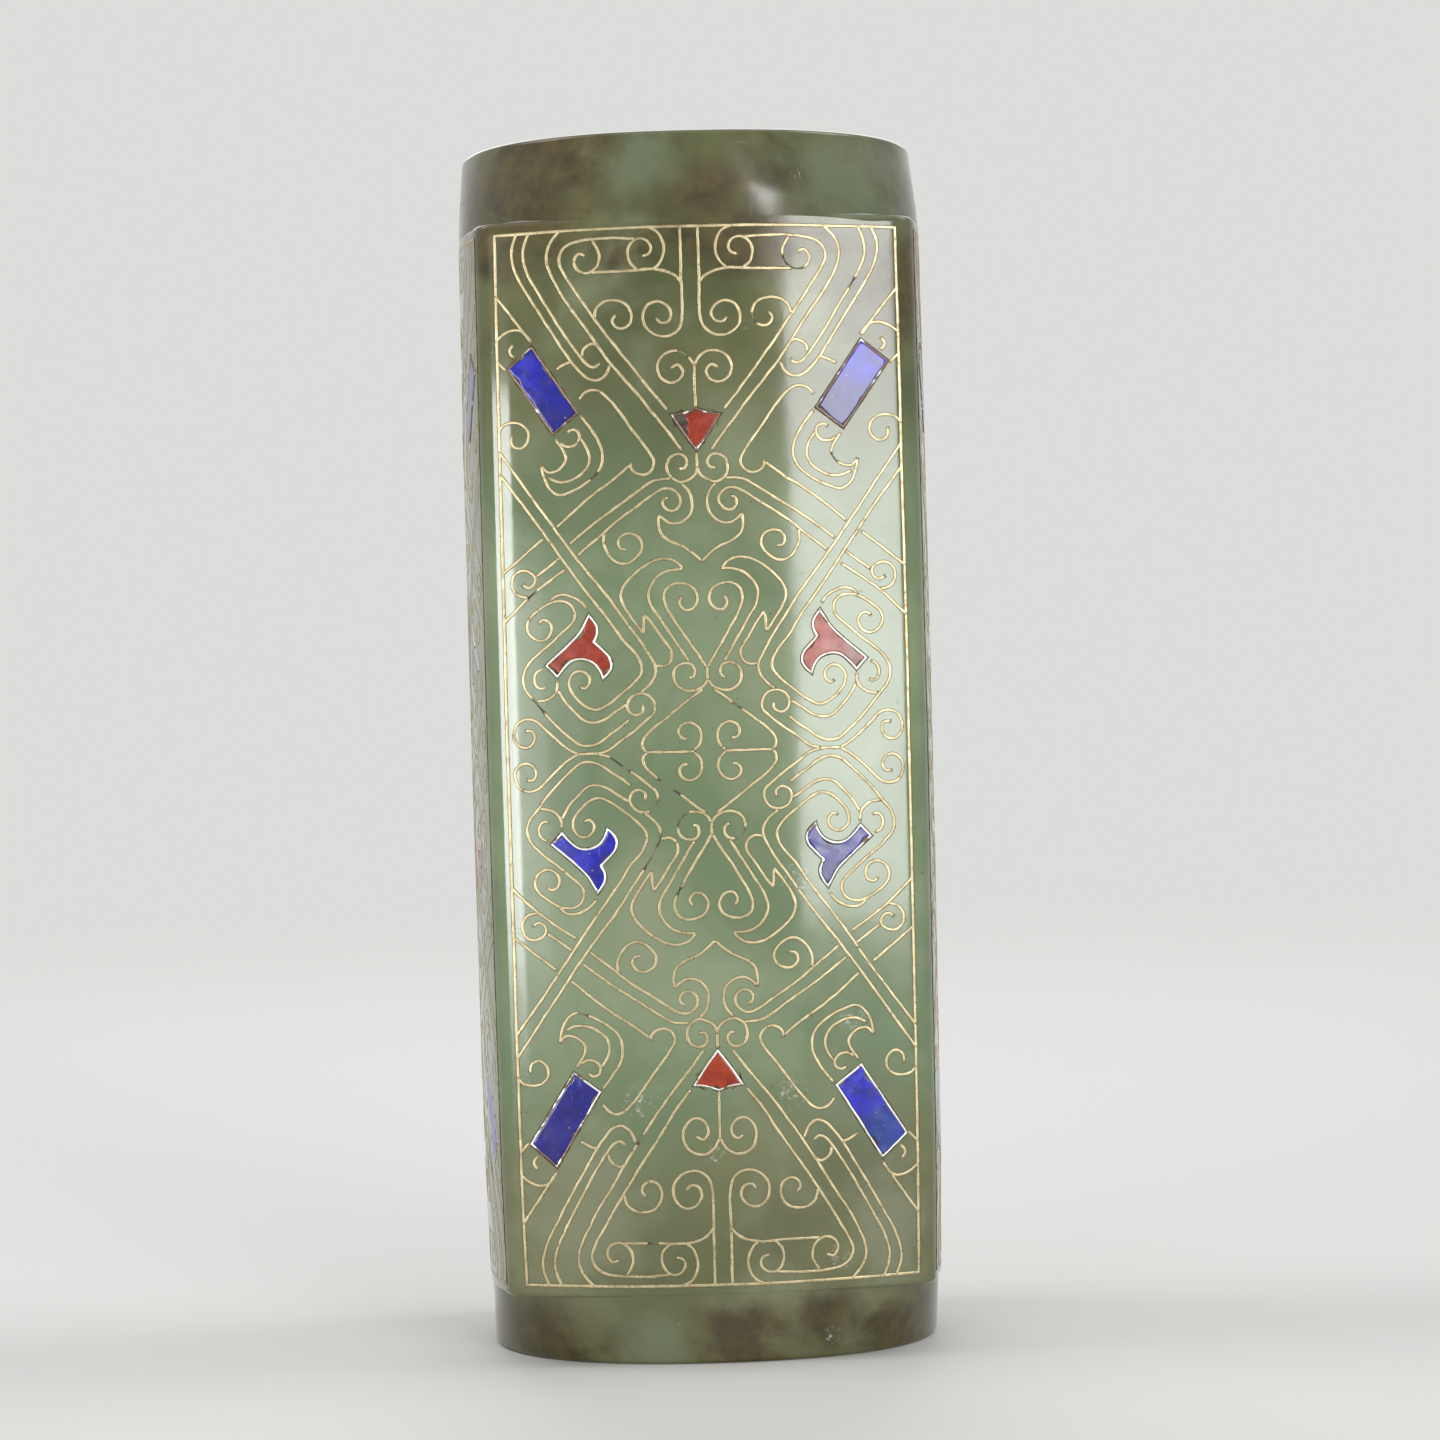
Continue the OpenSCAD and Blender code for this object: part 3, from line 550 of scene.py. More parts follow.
# The silver cells' lift, and the cement's inner line, its reach outwards and its reach under the stones
CELL_TOP = 0.085
CEMENT_LINE = 0.1
CEMENT_OUT = 0.13
WEDGE_BED, OTHER_BED = 1.7, 0.6
# The front's upper wedge has lost its left corner: face, group, half up, and where the break is
BROKEN_WEDGE = (0, "coral_wedges", 1)
BROKEN_WEDGE_U = -1.75


def add_loops(shape, face, loops):
    """A closed strip round a cell, from outlines of the same length with their lifts."""
    n = len(loops[0][0])
    points = np.stack([on_panel(face, q[:, 0], q[:, 1], np.full(n, z)) for q, z in loops], 1)
    shape.add(points.reshape(-1, 3), sweep_faces(n, len(loops), closed=True))


def cell(shape, face, outline, seed):
    """A thin silver wall around a stone, uneven in width as hand-bent strip is."""
    wide = CELL_WALL * (1 + 0.3 * wobble(np.arange(len(outline)) * OUTLINE_STEP, seed, 1.6))
    inner = outline + (inset_outline(outline, 1.0) - outline) * wide[:, None]
    soft = outline + (inner - outline) * 0.25
    soft_in = outline + (inner - outline) * 0.75
    add_loops(shape, face, [(outline, -0.4), (outline, 0.03), (soft, CELL_TOP), (soft_in, CELL_TOP),
                            (inner, 0.03), (inner, -0.4)])


def cement(shape, face, outline, reach):
    """Old cement: a dark line round a cell, and a bed that shows where a stone has worn back."""
    outer = inset_outline(outline, -CEMENT_OUT)
    middle = inset_outline(outline, CEMENT_LINE)
    inner = inset_outline(outline, reach)
    add_loops(shape, face, [(outer, -0.1), (outer, 0.006), (middle, 0.012), (middle, -0.1)])
    add_loops(shape, face, [(middle, -0.1), (middle, 0.025), (inner, 0.025), (inner, -0.1)])


def worn_outline(outline, seed):
    """A stone's own outline: inside its cell wall, with a few bites where it has worn back."""
    bites = np.clip(wobble(np.arange(len(outline)) * OUTLINE_STEP, seed + 40, 1.5) - 0.12, 0, 0.6)
    step = inset_outline(outline, 1.0) - outline
    return outline + step * (CELL_WALL * 0.8 + 0.7 * bites)[:, None]


# The jade tube: rings of points from the bore, over the rims and ledges, and back into the bore.
# Each collar has a radius and a squareness at its rim and its foot, a rounded rim and a hollow at its foot.
TOP_RIM_R, TOP_FOOT_R = 30.4, 31.2
BOTTOM_RIM_R, BOTTOM_FOOT_R = 30.85, 31.0
RIM_POWER, FOOT_POWER = 2.3, 3.0
RIM_ROUND = 0.8
COLLAR_HEEL = 0.8
CORNER_SOFT = 1.0
# Room between a ledge and the first ring of the body, and the bore's mouth: flat rim and rounding
LEDGE_ROOM = 1.6
MOUTH_FLAT_R = 27.5
MOUTH_ROUND = 0.9


def body_angles():
    """Angles round the tube, closer together at the four corners."""
    half = np.concatenate([np.linspace(0, 40, 17), np.linspace(40.8, 45, 7)])
    quarter = np.concatenate([-half[:0:-1], half[:-1]])
    return np.radians(np.concatenate([quarter + 90 * i for i in range(4)]))


ANGLES = body_angles()


def body_radius(angles):
    """Radius of the square body's section: four crowned faces with softened corners."""
    behind = FACE_REACH - FACE_R
    out = []
    for i in range(4):
        a = angles - math.radians(90 * i)
        c = np.cos(a)
        r = behind * c + np.sqrt(np.maximum(FACE_R ** 2 - (behind * np.sin(a)) ** 2, 0))
        out.append(np.where(c > 0.3, r, 400))
    low = np.minimum.reduce(out)
    return low - CORNER_SOFT * np.log(sum(np.exp((low - r) / CORNER_SOFT) for r in out))


BODY = body_radius(ANGLES)


def ring(radius, z):
    """One ring of points round the tube's axis, in millimetres."""
    radius = np.broadcast_to(radius, ANGLES.shape)
    z = np.broadcast_to(z, ANGLES.shape)
    return np.stack([radius * np.cos(ANGLES), radius * np.sin(ANGLES), z], -1)


def squared(radius, power):
    """A collar's section: round at power 2, and flatter on its four sides the higher the power."""
    return radius * (np.abs(np.cos(ANGLES)) ** power + np.abs(np.sin(ANGLES)) ** power) ** (-1 / power)


def quarter_turn(start, end, count):
    """Sine and cosine at even steps through a quarter turn."""
    for turn in np.linspace(start, end, count):
        yield math.sin(math.radians(turn)), math.cos(math.radians(turn))


def collar_rings(rim_r, foot_r, rim_z, foot_z):
    """The side of a collar, from near its rim to near its foot."""
    rings = []
    for s in (0.2, 0.4, 0.6, 0.8):
        section = squared(rim_r + (foot_r - rim_r) * s, RIM_POWER + (FOOT_POWER - RIM_POWER) * s)
        rings.append(ring(section, rim_z + (foot_z - rim_z) * s))
    return rings


def ledge_rings(z, foot_r, outward):
    """From the body's edge across a ledge to the foot of its collar; outward is 1 at the top, -1 below."""
    k = draw_in(z)
    edge = BODY * k
    foot = np.minimum(foot_r, edge - 0.03)
    width = edge - foot
    soft = np.minimum(0.9, 0.42 * width)
    heel = np.minimum(COLLAR_HEEL, 0.3 * width)
    rings = [ring(edge - soft * (1 - c), z - outward * soft * (1 - s)) for s, c in quarter_turn(0, 90, 7)]
    rings += [ring(edge - soft - (width - soft - heel) * share, z) for share in (0.3, 0.6, 0.85)]
    rings += [ring(foot + heel * (1 - s), z + outward * heel * (1 - c)) for s, c in quarter_turn(0, 90, 6)]
    return rings


def rim_rings(rim_r, z, outward):
    """The rounded outer edge of a rim, from the flat outwards to the collar's side."""
    return [ring(rim_r - RIM_ROUND * (1 - c), z - outward * RIM_ROUND * (1 - s))
            for s, c in quarter_turn(0, 90, 7)]


def mouth_rings(z, outward):
    """The flat rim's inner part and the rounded mouth of the bore, from outside in."""
    rings = [ring(MOUTH_FLAT_R, z), ring(BORE_R + MOUTH_ROUND + 1.2, z)]
    rings += [ring(BORE_R + MOUTH_ROUND * (1 - c), z - outward * MOUTH_ROUND * (1 - s))
              for s, c in quarter_turn(90, 0, 6)]
    return rings


def jade_tube(material):
    """The polished tube, as one closed surface from the bottom mouth of the bore up and down again inside."""
    top_collar = collar_rings(TOP_RIM_R, TOP_FOOT_R, HEIGHT - RIM_ROUND, TOP_LEDGE_Z + COLLAR_HEEL)
    low_collar = collar_rings(BOTTOM_RIM_R, BOTTOM_FOOT_R, RIM_ROUND, LEDGE_Z - COLLAR_HEEL)
    levels = np.linspace(LEDGE_Z + LEDGE_ROOM, TOP_LEDGE_Z - LEDGE_ROOM, 44)
    rings = mouth_rings(0, -1)[::-1]
    rings += rim_rings(squared(BOTTOM_RIM_R, RIM_POWER) * draw_in(0), 0, -1)[::-1]
    rings += [r * (draw_in(0), draw_in(0), 1) for r in low_collar]
    rings += ledge_rings(LEDGE_Z, squared(BOTTOM_FOOT_R, FOOT_POWER) * draw_in(LEDGE_Z), -1)[::-1]
    rings += [ring(BODY * draw_in(z), z) for z in levels]
    rings += ledge_rings(TOP_LEDGE_Z, squared(TOP_FOOT_R, FOOT_POWER), 1)
    rings += top_collar[::-1]
    rings += rim_rings(squared(TOP_RIM_R, RIM_POWER), HEIGHT, 1)
    rings += mouth_rings(HEIGHT, 1)
    rings += [ring(BORE_R, z) for z in np.linspace(HEIGHT - 4, 4, 14)]
    shape = Shape()
    shape.add(np.concatenate(rings) * MM, sweep_faces(len(rings), len(ANGLES), closed=True))
    return shape.build("jade_tube_polished", material)


# Materials
class Nodes:
    """A material's node tree with short calls for the nodes used here."""

    def __init__(self, name):
        self.material = bpy.data.materials.new(name)
        self.material.use_nodes = True
        self.tree = self.material.node_tree
        self.shader = self.tree.nodes["Principled BSDF"]
        self.object = self.new("ShaderNodeTexCoord").outputs["Object"]

    def new(self, kind, inputs=None, **values):
        """A node with its properties set, and its inputs set or linked."""
        node = self.tree.nodes.new(kind)
        for key, value in values.items():
            setattr(node, key, value)
        for socket, value in (inputs or {}).items():
            self.put(node, socket, value)
        return node

    def link(self, source, target):
        self.tree.links.new(source, target)

    def put(self, node, socket, value):
        if isinstance(value, bpy.types.NodeSocket):
            self.link(value, node.inputs[socket])
        else:
            node.inputs[socket].default_value = value

    def math(self, operation, a, b=0.0):
        return self.new("ShaderNodeMath", {0: a, 1: b}, operation=operation).outputs[0]

    def noise(self, size_mm, detail=3.0, roughness=0.55, distortion=0.0, stretch=None):
        """Noise from 0 to 1 whose features are about size_mm across."""
        where = self.object
        if stretch:
            where = self.new("ShaderNodeMapping", {"Vector": where, "Scale": stretch}).outputs[0]
        node = self.new("ShaderNodeTexNoise", {
            "Vector": where, "Scale": 1 / (size_mm * MM), "Detail": detail, "Roughness": roughness,
            "Distortion": distortion,
        })
        return node.outputs["Fac"]

    def ramp(self, value, low, high, out_low=0.0, out_high=1.0):
        """A smooth step from out_low to out_high as a value runs from low to high."""
        node = self.new("ShaderNodeMapRange", {
            "Value": value, "From Min": low, "From Max": high, "To Min": out_low, "To Max": out_high,
        }, interpolation_type="SMOOTHSTEP")
        return node.outputs["Result"]

    def mix(self, share, a, b):
        """Colour a turning into colour b as the share goes from 0 to 1."""
        a, b = (v if isinstance(v, bpy.types.NodeSocket) else (*v, 1.0) for v in (a, b))
        return self.new("ShaderNodeMix", {"Factor": share, 6: a, 7: b}, data_type="RGBA").outputs[2]

    def blot(self, centre_mm, radii_mm):
        """A cloud round a point, with a ragged edge: 1 inside, 0 outside."""
        scale = [1 / (r * MM) for r in radii_mm]
        shift = [-c * MM * k for c, k in zip(centre_mm, scale)]
        mapping = self.new("ShaderNodeMapping", {"Vector": self.object, "Scale": scale, "Location": shift})
        distance = self.new("ShaderNodeVectorMath", {0: mapping.outputs[0]}, operation="LENGTH")
        ragged = self.math("MULTIPLY", self.math("SUBTRACT", self.noise(5, 4, 0.6), 0.5), 1.8)
        return self.ramp(self.math("ADD", distance.outputs["Value"], ragged), 1.5, 0.25)

    def bump(self, height, distance_mm, strength=1.0, normal=None):
        inputs = {"Height": height, "Distance": distance_mm * MM, "Strength": strength}
        if normal is not None:
            inputs["Normal"] = normal
        return self.new("ShaderNodeBump", inputs).outputs["Normal"]

    def height(self):
        """Height above the foot, in metres."""
        return self.new("ShaderNodeSeparateXYZ", {0: self.object}).outputs["Z"]

    def set(self, **values):
        """Set or link the shader's sockets, with _ for a space in a socket's name."""
        for key, value in values.items():
            self.put(self.shader, key.replace("_", " "), value)


# Marks seen on the front and its collars, in mm: centre and radii, and one radius for a chip's size across
BROWN_CLOUDS = [
    ((-13, -28, 156), (5, 9, 6)), ((1, -31, 152), (9, 9, 5)), ((-27, -15, 152), (10, 14, 9)),
    ((24, -27, 141), (8, 6, 9)), ((28, -12, 4), (9, 14, 8)), ((-24, -18, 4), (8, 12, 6)),
    ((2, -31, 5), (7, 8, 3)), ((13, -29, 5), (5, 8, 4)),
]
# Pale patches clear the brown stain; the first, on the top collar's right, also paints the glow of light
# shining through the jade
PALE_AND_GLOW_PATCHES = [((20, -24, 153), (11, 12, 8)), ((-7, -30, 156), (6, 6, 5)), ((-9, -29, 3), (5, 8, 4))]
MILKY_PATCHES = [((-18, -28, 21), (8, 9, 12)), ((21, -27, 17), (5, 9, 9)), ((-9, -30, 60), (3, 8, 9))]
CHIPS = [
    ((9.5, -30, 34.5), 1.8), ((10.5, -30, 63), 2.0), ((-10.5, -30, 34), 1.8), ((15, -29, 13), 1.5),
    ((18, -27, 44), 1.6), ((14, -29, 3), 1.0), ((13.5, -29, 154), 0.8), ((-1, -31, 27), 1.2),
]
CHIP_DEPTH = 9
SILVER_TARNISH = ((-20, -30, 31), (8, 9, 10))
WEDGE_CEMENT = ((-2.6, -31, 120), (3, 8, 4))
TEAL_LAPIS = ((21.5, -29.5, 28), (3, 8, 4))
DULL_LAPIS = ((-19, -30, 29), (6, 9, 8))
DECAYED_CORAL = ((22.0, -29.3, 91.0), (5, 10, 5))
# The body is coolest and clearest at this height in metres, and brownish and darker towards both ends: partly
# the jade's own tone, partly painted shade where the light falls off towards top and foot
JADE_MIDDLE_Z = 0.074


def jade_material():
    """Grey-green nephrite, stained and darker towards the ends, with milk, specks, chips and scratches; the
    darkening towards the ends is partly painted shade and the paler foot partly a painted highlight.
    """
    m = Nodes("jade")
    z = m.height()
    cloud = m.noise(26, 4, 0.6, 0.6)
    cool = m.mix(m.ramp(cloud, 0.36, 0.66), (0.135, 0.190, 0.098), (0.200, 0.255, 0.146))
    # Brownish green towards the ends, partly painted shade of the light's falloff; below 30 to 60 mm it turns
    # paler again, partly a painted highlight standing for the lamps' reflections low on the face
    olive_shade_and_sheen = m.mix(m.ramp(m.noise(17, 3), 0.35, 0.7), (0.068, 0.080, 0.025), (0.125, 0.130, 0.052))
    olive_shade_and_sheen = m.mix(m.ramp(z, 0.030, 0.060, 0.32, 0.0), olive_shade_and_sheen, (0.190, 0.190, 0.105))
    from_middle = m.math("ABSOLUTE", m.math("SUBTRACT", z, JADE_MIDDLE_Z))
    ends = m.math("ADD", from_middle, m.math("MULTIPLY", m.math("SUBTRACT", m.noise(30, 2), 0.5), 0.05))
    body = m.mix(m.ramp(ends, 0.028, 0.060), cool, olive_shade_and_sheen)
    milk = m.ramp(m.noise(12, 3, 0.5, 0.4), 0.50, 0.80, 0.0, 0.40)
    body = m.mix(milk, body, (0.285, 0.315, 0.205))
    for centre, radii in MILKY_PATCHES:
        body = m.mix(m.math("MULTIPLY", m.blot(centre, radii), 0.5), body, (0.250, 0.268, 0.175))
    stain_field = m.math("ADD", m.noise(15, 4, 0.6, 0.5), m.ramp(from_middle, 0.062, 0.071, -0.12, 0.22))
    stain = m.ramp(stain_field, 0.58, 0.80)
    for centre, radii in BROWN_CLOUDS:
        stain = m.math("MAXIMUM", stain, m.blot(centre, radii))
    # Pale patches: unstained jade, and on the top collar's right partly a painted glow of light through the
    # jade
    for centre, radii in PALE_AND_GLOW_PATCHES:
        pale = m.blot(centre, radii)
        body = m.mix(m.math("MULTIPLY", pale, 0.45), body, (0.170, 0.210, 0.130))
        stain = m.math("MULTIPLY", stain, m.math("SUBTRACT", 1.0, pale))
    russet = m.mix(m.ramp(m.noise(3.5, 5, 0.65), 0.25, 0.75), (0.026, 0.017, 0.003), (0.092, 0.066, 0.017))
    body = m.mix(m.math("MULTIPLY", stain, 0.88), body, russet)
    speck = m.ramp(m.noise(1.6, 3, 0.6), 0.70, 0.76, 0.0, 0.55)
    body = m.mix(speck, body, (0.085, 0.070, 0.032))
    fleck = m.ramp(m.noise(1.8, 3, 0.6), 0.73, 0.79, 0.0, 0.4)
    body = m.mix(fleck, body, (0.42, 0.44, 0.34))
    scratch_a = m.ramp(m.noise(1.0, 2, 0.5, 0.0, stretch=(1.0, 1.0, 0.05)), 0.68, 0.74)
    scratch_b = m.ramp(m.noise(0.8, 2, 0.5, 0.3, stretch=(0.12, 0.12, 1.0)), 0.70, 0.75)
    scratches = m.math("MAXIMUM", scratch_a, scratch_b)
    for centre, radius in CHIPS:
        crumbs = m.ramp(m.noise(0.7, 5, 0.75), 0.53, 0.64)
        chip = m.math("MULTIPLY", m.blot(centre, (radius, CHIP_DEPTH, radius)), crumbs)
        body = m.mix(m.math("MULTIPLY", chip, 0.8), body, (0.55, 0.57, 0.48))
    rough = m.math("ADD", m.ramp(m.noise(9, 3), 0.3, 0.7, 0.06, 0.10), m.math("MULTIPLY", scratches, 0.08))
    rough = m.math("ADD", rough, m.math("MULTIPLY", stain, 0.06))
    wave = m.bump(m.noise(18, 2, 0.4), 0.10, 0.5)
    fine = m.bump(m.math("ADD", m.noise(1.4, 3), m.math("MULTIPLY", scratches, -0.3)), 0.015, 0.25, wave)
    m.set(Base_Color=body, Roughness=rough, IOR=1.6, Specular_IOR_Level=0.4, Normal=fine,
          Subsurface_Weight=0.25, Subsurface_Radius=(1.0, 1.3, 0.8), Subsurface_Scale=0.0022)
    return m.material


def gold_material():
    """Soft gold with a worn brown tone and specks of dirt."""
    m = Nodes("gold")
    colour = m.mix(m.ramp(m.noise(1.7, 3), 0.3, 0.72), (0.34, 0.280, 0.150), (0.51, 0.425, 0.250))
    worn = m.ramp(m.noise(6, 3, 0.6), 0.58, 0.72, 0.0, 0.5)
    colour = m.mix(worn, colour, (0.22, 0.150, 0.080))
    dirt = m.ramp(m.noise(0.7, 4, 0.7), 0.60, 0.69)
    colour = m.mix(m.math("MULTIPLY", dirt, 0.75), colour, (0.070, 0.045, 0.018))
    rough = m.ramp(m.noise(0.7, 2), 0.3, 0.7, 0.26, 0.44)
    m.set(Base_Color=colour, Metallic=0.6, Roughness=rough, Normal=m.bump(m.noise(0.5, 3), 0.018, 0.5))
    return m.material


def silver_material():
    """Silver cell walls, gone dark round the upper bars and wedge."""
    m = Nodes("silver")
    tarnish = m.ramp(m.height(), 0.112, 0.119, 0.38, 0.62)
    tarnish = m.math("MAXIMUM", tarnish, m.math("MULTIPLY", m.blot(*SILVER_TARNISH), 0.58))
    dark = m.ramp(m.math("SUBTRACT", tarnish, m.noise(1.3, 4, 0.6)), -0.07, 0.07)
    colour = m.mix(dark, (0.66, 0.64, 0.59), (0.17, 0.115, 0.085))
    rough = m.ramp(m.noise(0.8, 3), 0.3, 0.7, 0.26, 0.46)
    m.set(Base_Color=colour, Metallic=1.0, Roughness=rough, Normal=m.bump(m.noise(0.5, 3), 0.03, 0.6))
    return m.material


def channel_material():
    """Dirt and old cement beside the gold and under the stones."""
    m = Nodes("channel_dirt")
    dark = m.ramp(m.noise(1.5, 4, 0.6), 0.40, 0.60)
    colour = m.mix(dark, (0.16, 0.18, 0.09), (0.055, 0.038, 0.018))
    colour = m.mix(m.blot(*WEDGE_CEMENT), colour, (0.060, 0.044, 0.040))
    m.set(Base_Color=colour, Roughness=0.6, Specular_IOR_Level=0.3)
    return m.material


def lapis_material():
    """Ultramarine stone with dark clouds, pale scratches and flecks of pyrite."""
    m = Nodes("lapis")
    cloud = m.ramp(m.noise(2.4, 5, 0.62, 0.5), 0.35, 0.68)
    colour = m.mix(cloud, (0.003, 0.004, 0.200), (0.006, 0.009, 0.480))
    dark = m.math("MAXIMUM", m.ramp(m.noise(1.0, 4, 0.6), 0.60, 0.75, 0.0, 0.6),
                  m.ramp(m.noise(22, 1, 0.5), 0.42, 0.58, 0.0, 0.65))
    colour = m.mix(dark, colour, (0.004, 0.004, 0.060))
    scratches = m.ramp(m.noise(0.7, 3, 0.6, 0.3, stretch=(0.5, 0.5, 0.12)), 0.63, 0.72, 0.0, 0.16)
    colour = m.mix(scratches, colour, (0.25, 0.27, 0.58))
    colour = m.mix(m.math("MULTIPLY", m.blot(*TEAL_LAPIS), 0.5), colour, (0.012, 0.075, 0.280))
    colour = m.mix(m.math("MULTIPLY", m.blot(*DULL_LAPIS), 0.6), colour, (0.010, 0.006, 0.085))
    pyrite = m.ramp(m.noise(0.35, 2, 0.5), 0.74, 0.78)
    colour = m.mix(pyrite, colour, (0.70, 0.62, 0.40))
    rough = m.math("ADD", m.ramp(m.noise(2.0, 3), 0.3, 0.7, 0.10, 0.18), m.math("MULTIPLY", scratches, 0.5))
    m.set(Base_Color=colour, Roughness=rough, IOR=1.5, Specular_IOR_Level=0.5,
          Normal=m.bump(m.noise(1.1, 3), 0.03, 0.4))
    return m.material


def coral_material():
    """Brick-red coral with dark pits and one decayed end."""
    m = Nodes("coral")
    colour = m.mix(m.ramp(m.noise(1.6, 4, 0.6), 0.32, 0.7), (0.215, 0.014, 0.002), (0.335, 0.034, 0.007))
    pits = m.ramp(m.noise(0.5, 3), 0.70, 0.78, 0.0, 0.6)
    colour = m.mix(pits, colour, (0.10, 0.015, 0.006))
    decayed = m.math("MULTIPLY", m.blot(*DECAYED_CORAL), m.ramp(m.noise(0.8, 3), 0.30, 0.55))
    colour = m.mix(decayed, colour, (0.080, 0.052, 0.040))
    rough = m.ramp(m.noise(1.5, 3), 0.3, 0.7, 0.14, 0.26)
    m.set(Base_Color=colour, Roughness=rough, IOR=1.5, Specular_IOR_Level=0.45,
          Normal=m.bump(m.noise(0.9, 3), 0.04, 0.4))
    return m.material


# The stage: a pale floor that fades into the pale surroundings; lengths in metres
SURROUND = (0.72, 0.72, 0.705)
SURROUND_LIGHT = 0.32
FLOOR_COLOUR = (0.83, 0.83, 0.815, 1)
FLOOR_R = 2.6
FLOOR_SIDES = 96
FADE_FROM, FADE_TO = 0.2, 1.3


def make_stage():
    mesh = bpy.data.meshes.new("floor")
    turns = [2 * math.pi * i / FLOOR_SIDES for i in range(FLOOR_SIDES)]
    rim = [(FLOOR_R * math.cos(a), FLOOR_R * math.sin(a), 0) for a in turns]
    mesh.from_pydata(rim, [], [tuple(range(FLOOR_SIDES))])
    floor = bpy.data.objects.new("floor", mesh)
    bpy.context.scene.collection.objects.link(floor)
    m = Nodes("pale_floor")
    distance = m.new("ShaderNodeVectorMath", {0: m.object}, operation="LENGTH")
    fade = m.ramp(distance.outputs["Value"], FADE_FROM, FADE_TO)
    clear = m.new("ShaderNodeBsdfTransparent")
    both = m.new("ShaderNodeMixShader", {0: fade, 1: m.shader.outputs[0], 2: clear.outputs[0]})
    m.link(both.outputs[0], m.tree.nodes["Material Output"].inputs["Surface"])
    m.set(Base_Color=FLOOR_COLOUR, Roughness=0.7)
    mesh.materials.append(m.material)


def make_world():
    """Pale surroundings to the camera and in reflections, and a dimmer even light on matt surfaces."""
    world = bpy.data.worlds.new("studio")
    bpy.context.scene.world = world
    world.use_nodes = True
    tree = world.node_tree
    background = tree.nodes["Background"]
    seen = tree.nodes.new("ShaderNodeBackground")
    seen.inputs["Color"].default_value = (*SURROUND, 1)
    seen.inputs["Strength"].default_value = 1.0
    background.inputs["Color"].default_value = (1, 1, 1, 1)
    background.inputs["Strength"].default_value = SURROUND_LIGHT
    path = tree.nodes.new("ShaderNodeLightPath")
    sees = path.outputs["Is Camera Ray"]
    for ray in ("Is Glossy Ray", "Is Transmission Ray"):
        either = tree.nodes.new("ShaderNodeMath")
        either.operation = "MAXIMUM"
        tree.links.new(sees, either.inputs[0])
        tree.links.new(path.outputs[ray], either.inputs[1])
        sees = either.outputs[0]
    mix = tree.nodes.new("ShaderNodeMixShader")
    tree.links.new(sees, mix.inputs[0])
    tree.links.new(background.outputs[0], mix.inputs[1])
    tree.links.new(seen.outputs[0], mix.inputs[2])
    tree.links.new(mix.outputs[0], tree.nodes["World Output"].inputs["Surface"])


# Name, azimuth in degrees with 0 in front of the front face, then in metres the distance from the axis,
# the middle's height, the width and the height, and last the radiance
LAMPS = [
    ("right_softbox", 21.5, 1.8, 0.345, 0.57, 0.79, 7.8),
    ("left_softbox", -33, 1.8, 0.07, 0.72, 0.42, 11.0),
    ("left_glow", -20.5, 1.8, 0.02, 0.22, 0.30, 3.0),
    ("left_fade", -14.8, 1.8, 0.02, 0.14, 0.30, 1.0),
    ("back_fill", 180, 1.3, 0.90, 0.9, 0.9, 1.6),
    ("right_fill", 95, 1.2, 1.7, 0.9, 0.9, 2.2),
    ("left_fill", -95, 1.2, 1.7, 0.9, 0.9, 2.2),
    ("overhead", 0, 0.25, 1.4, 1.1, 1.1, 0.4),
]


def softbox(name, azimuth, distance, middle_z, width, height, radiance):
    """An area light turned to the middle of the tube's panels."""
    light = bpy.data.lights.new(name, "AREA")
    light.shape = "RECTANGLE"
    light.size, light.size_y = width, height
    light.energy = 4 * radiance * width * height
    lamp = bpy.data.objects.new(name, light)
    a = math.radians(azimuth)
    lamp.location = (math.sin(a) * distance, -math.cos(a) * distance, middle_z)
    aim = Vector((0, 0, PANEL_Z * MM)) - lamp.location
    lamp.rotation_euler = aim.to_track_quat("-Z", "Y").to_euler()
    bpy.context.scene.collection.objects.link(lamp)


# The camera, fitted to the photograph's frame corners and rims: millimetres, degrees, and the focal length
# as a share of the picture's width
CAMERA_AZIMUTH = -2.19
CAMERA_DISTANCE = 575.5
CAMERA_HEIGHT = 82.4
CAMERA_YAW = -0.276
CAMERA_PITCH = 0.10
CAMERA_ROLL = -1.548
FOCAL_SHARE = 4210 / 1440
SENSOR = 36.0


def make_camera():
    camera = bpy.data.cameras.new("camera")
    camera.sensor_fit = "HORIZONTAL"
    camera.sensor_width = SENSOR
    camera.lens = SENSOR * FOCAL_SHARE
    made = bpy.data.objects.new("camera", camera)
    bpy.context.scene.collection.objects.link(made)
    bpy.context.scene.camera = made
    a = math.radians(CAMERA_AZIMUTH)
    heading = a + math.radians(CAMERA_YAW)
    pitch = math.radians(CAMERA_PITCH)
    level = math.cos(pitch)
    forward = Vector((-math.sin(heading) * level, math.cos(heading) * level, math.sin(pitch)))
    right = forward.cross(Vector((0, 0, 1))).normalized()
    up = right.cross(forward)
    roll = math.radians(CAMERA_ROLL)
    turned_right = right * math.cos(roll) + up * math.sin(roll)
    turned_up = up * math.cos(roll) - right * math.sin(roll)
    matrix = Matrix((turned_right, turned_up, -forward)).transposed().to_4x4()
    place = Vector((math.sin(a) * CAMERA_DISTANCE, -math.cos(a) * CAMERA_DISTANCE, CAMERA_HEIGHT))
    matrix.translation = place * MM
    made.matrix_world = matrix


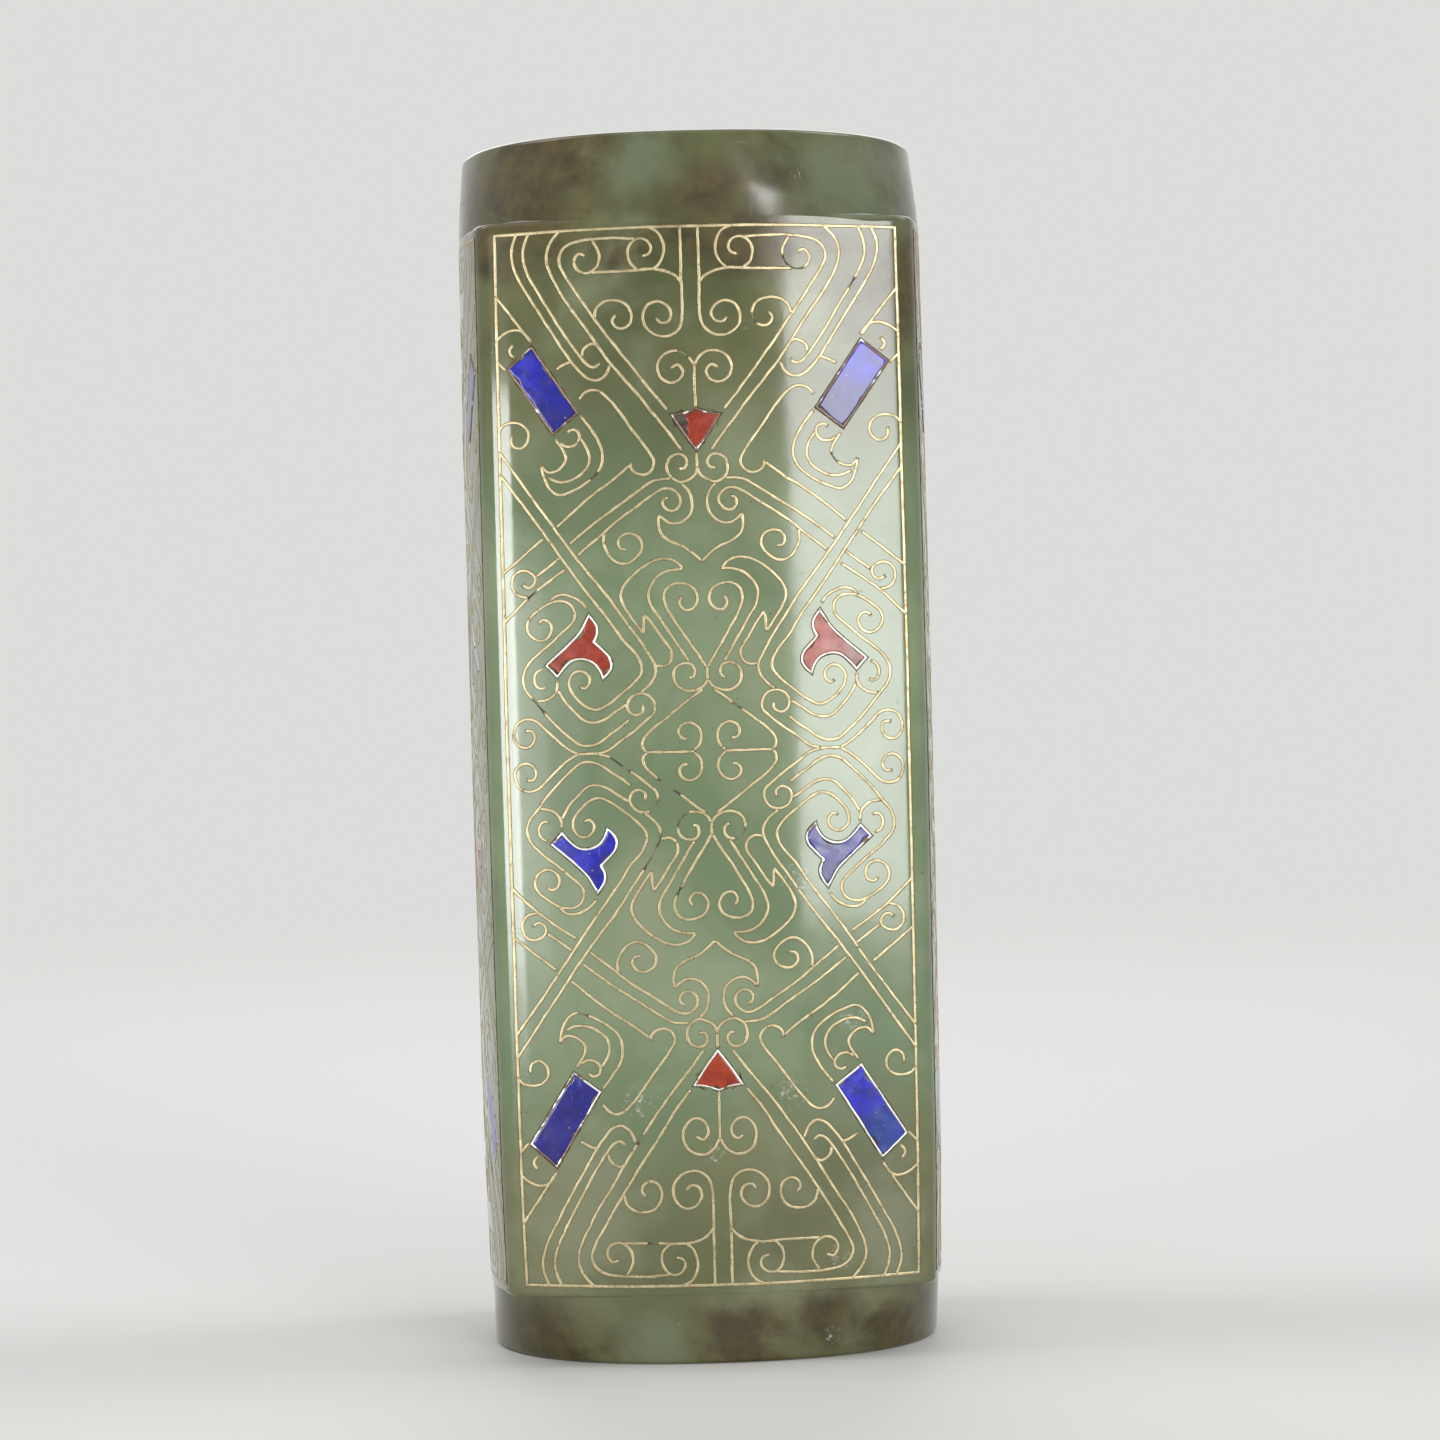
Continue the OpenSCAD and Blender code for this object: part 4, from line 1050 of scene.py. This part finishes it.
def replace(piece, slot, *nodes):
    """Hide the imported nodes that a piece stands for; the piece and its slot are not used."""
    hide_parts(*nodes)


def dress_face(face, looks):
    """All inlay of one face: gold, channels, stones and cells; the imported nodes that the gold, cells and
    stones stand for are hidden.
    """
    name = FACES[face]
    channels = Shape()
    for group in PATHS:
        gold = Shape()
        wire_group(face, group, gold, channels)
        replace(gold.build(f"{name}_{group}_gold", looks["gold"]), "gold", f"{name}_{group}")
    gold = Shape()
    frame_strip(face, gold, channels)
    replace(gold.build(f"{name}_frame_strip_gold", looks["gold"]), "gold", f"{name}_frame_strip")
    cells = Shape()
    tiles = [("lapis_bars", BAR_TILE, a, u) for a in (-1, 1) for u in (-1, 1)]
    tiles += [("coral_wedges", WEDGE_TILE, 1, u) for u in (-1, 1)]
    tiles += [("upper_hooks", HOOK_TILE, a, 1) for a in (-1, 1)]
    tiles += [("lower_hooks", HOOK_TILE, a, -1) for a in (-1, 1)]
    stones = {group: Shape() for group, *_ in tiles}
    for i, (group, tile, across, up) in enumerate(tiles):
        outline = tile_outline(tile, across, up)
        seed = face * 13.7 + i * 3.1
        cell(cells, face, outline, seed)
        cement(channels, face, outline, WEDGE_BED if group == "coral_wedges" else OTHER_BED)
        own = worn_outline(outline, seed)
        if (face, group, up) == BROKEN_WEDGE:
            own[:, 0] = np.maximum(own[:, 0], BROKEN_WEDGE_U + 0.12 * np.sin(own[:, 1] * 5))
        stone(stones[group], face, own, seed)
    replace(cells.build(f"{name}_silver_cells_bright", looks["silver"]), "silver", f"{name}_silver_cells")
    red_upper = face % 2 == 0
    kinds = {"lapis_bars": "lapis", "coral_wedges": "coral", "upper_hooks": "coral" if red_upper else "lapis",
             "lower_hooks": "lapis" if red_upper else "coral"}
    for group, shape in stones.items():
        kind = kinds[group]
        replace(shape.build(f"{name}_{group}_polished", looks[kind]), kind, f"{name}_{group}")
    channels.build(f"{name}_channels", looks["channel"])


looks = {"gold": gold_material(), "silver": silver_material(), "lapis": lapis_material(),
         "coral": coral_material(), "channel": channel_material()}
make_camera()
make_world()
for lamp in LAMPS:
    softbox(*lamp)
make_stage()
replace(jade_tube(jade_material()), "jade", "jade_tube")
for face in range(4):
    dress_face(face, looks)

bpy.context.scene.view_settings.view_transform = "Standard"
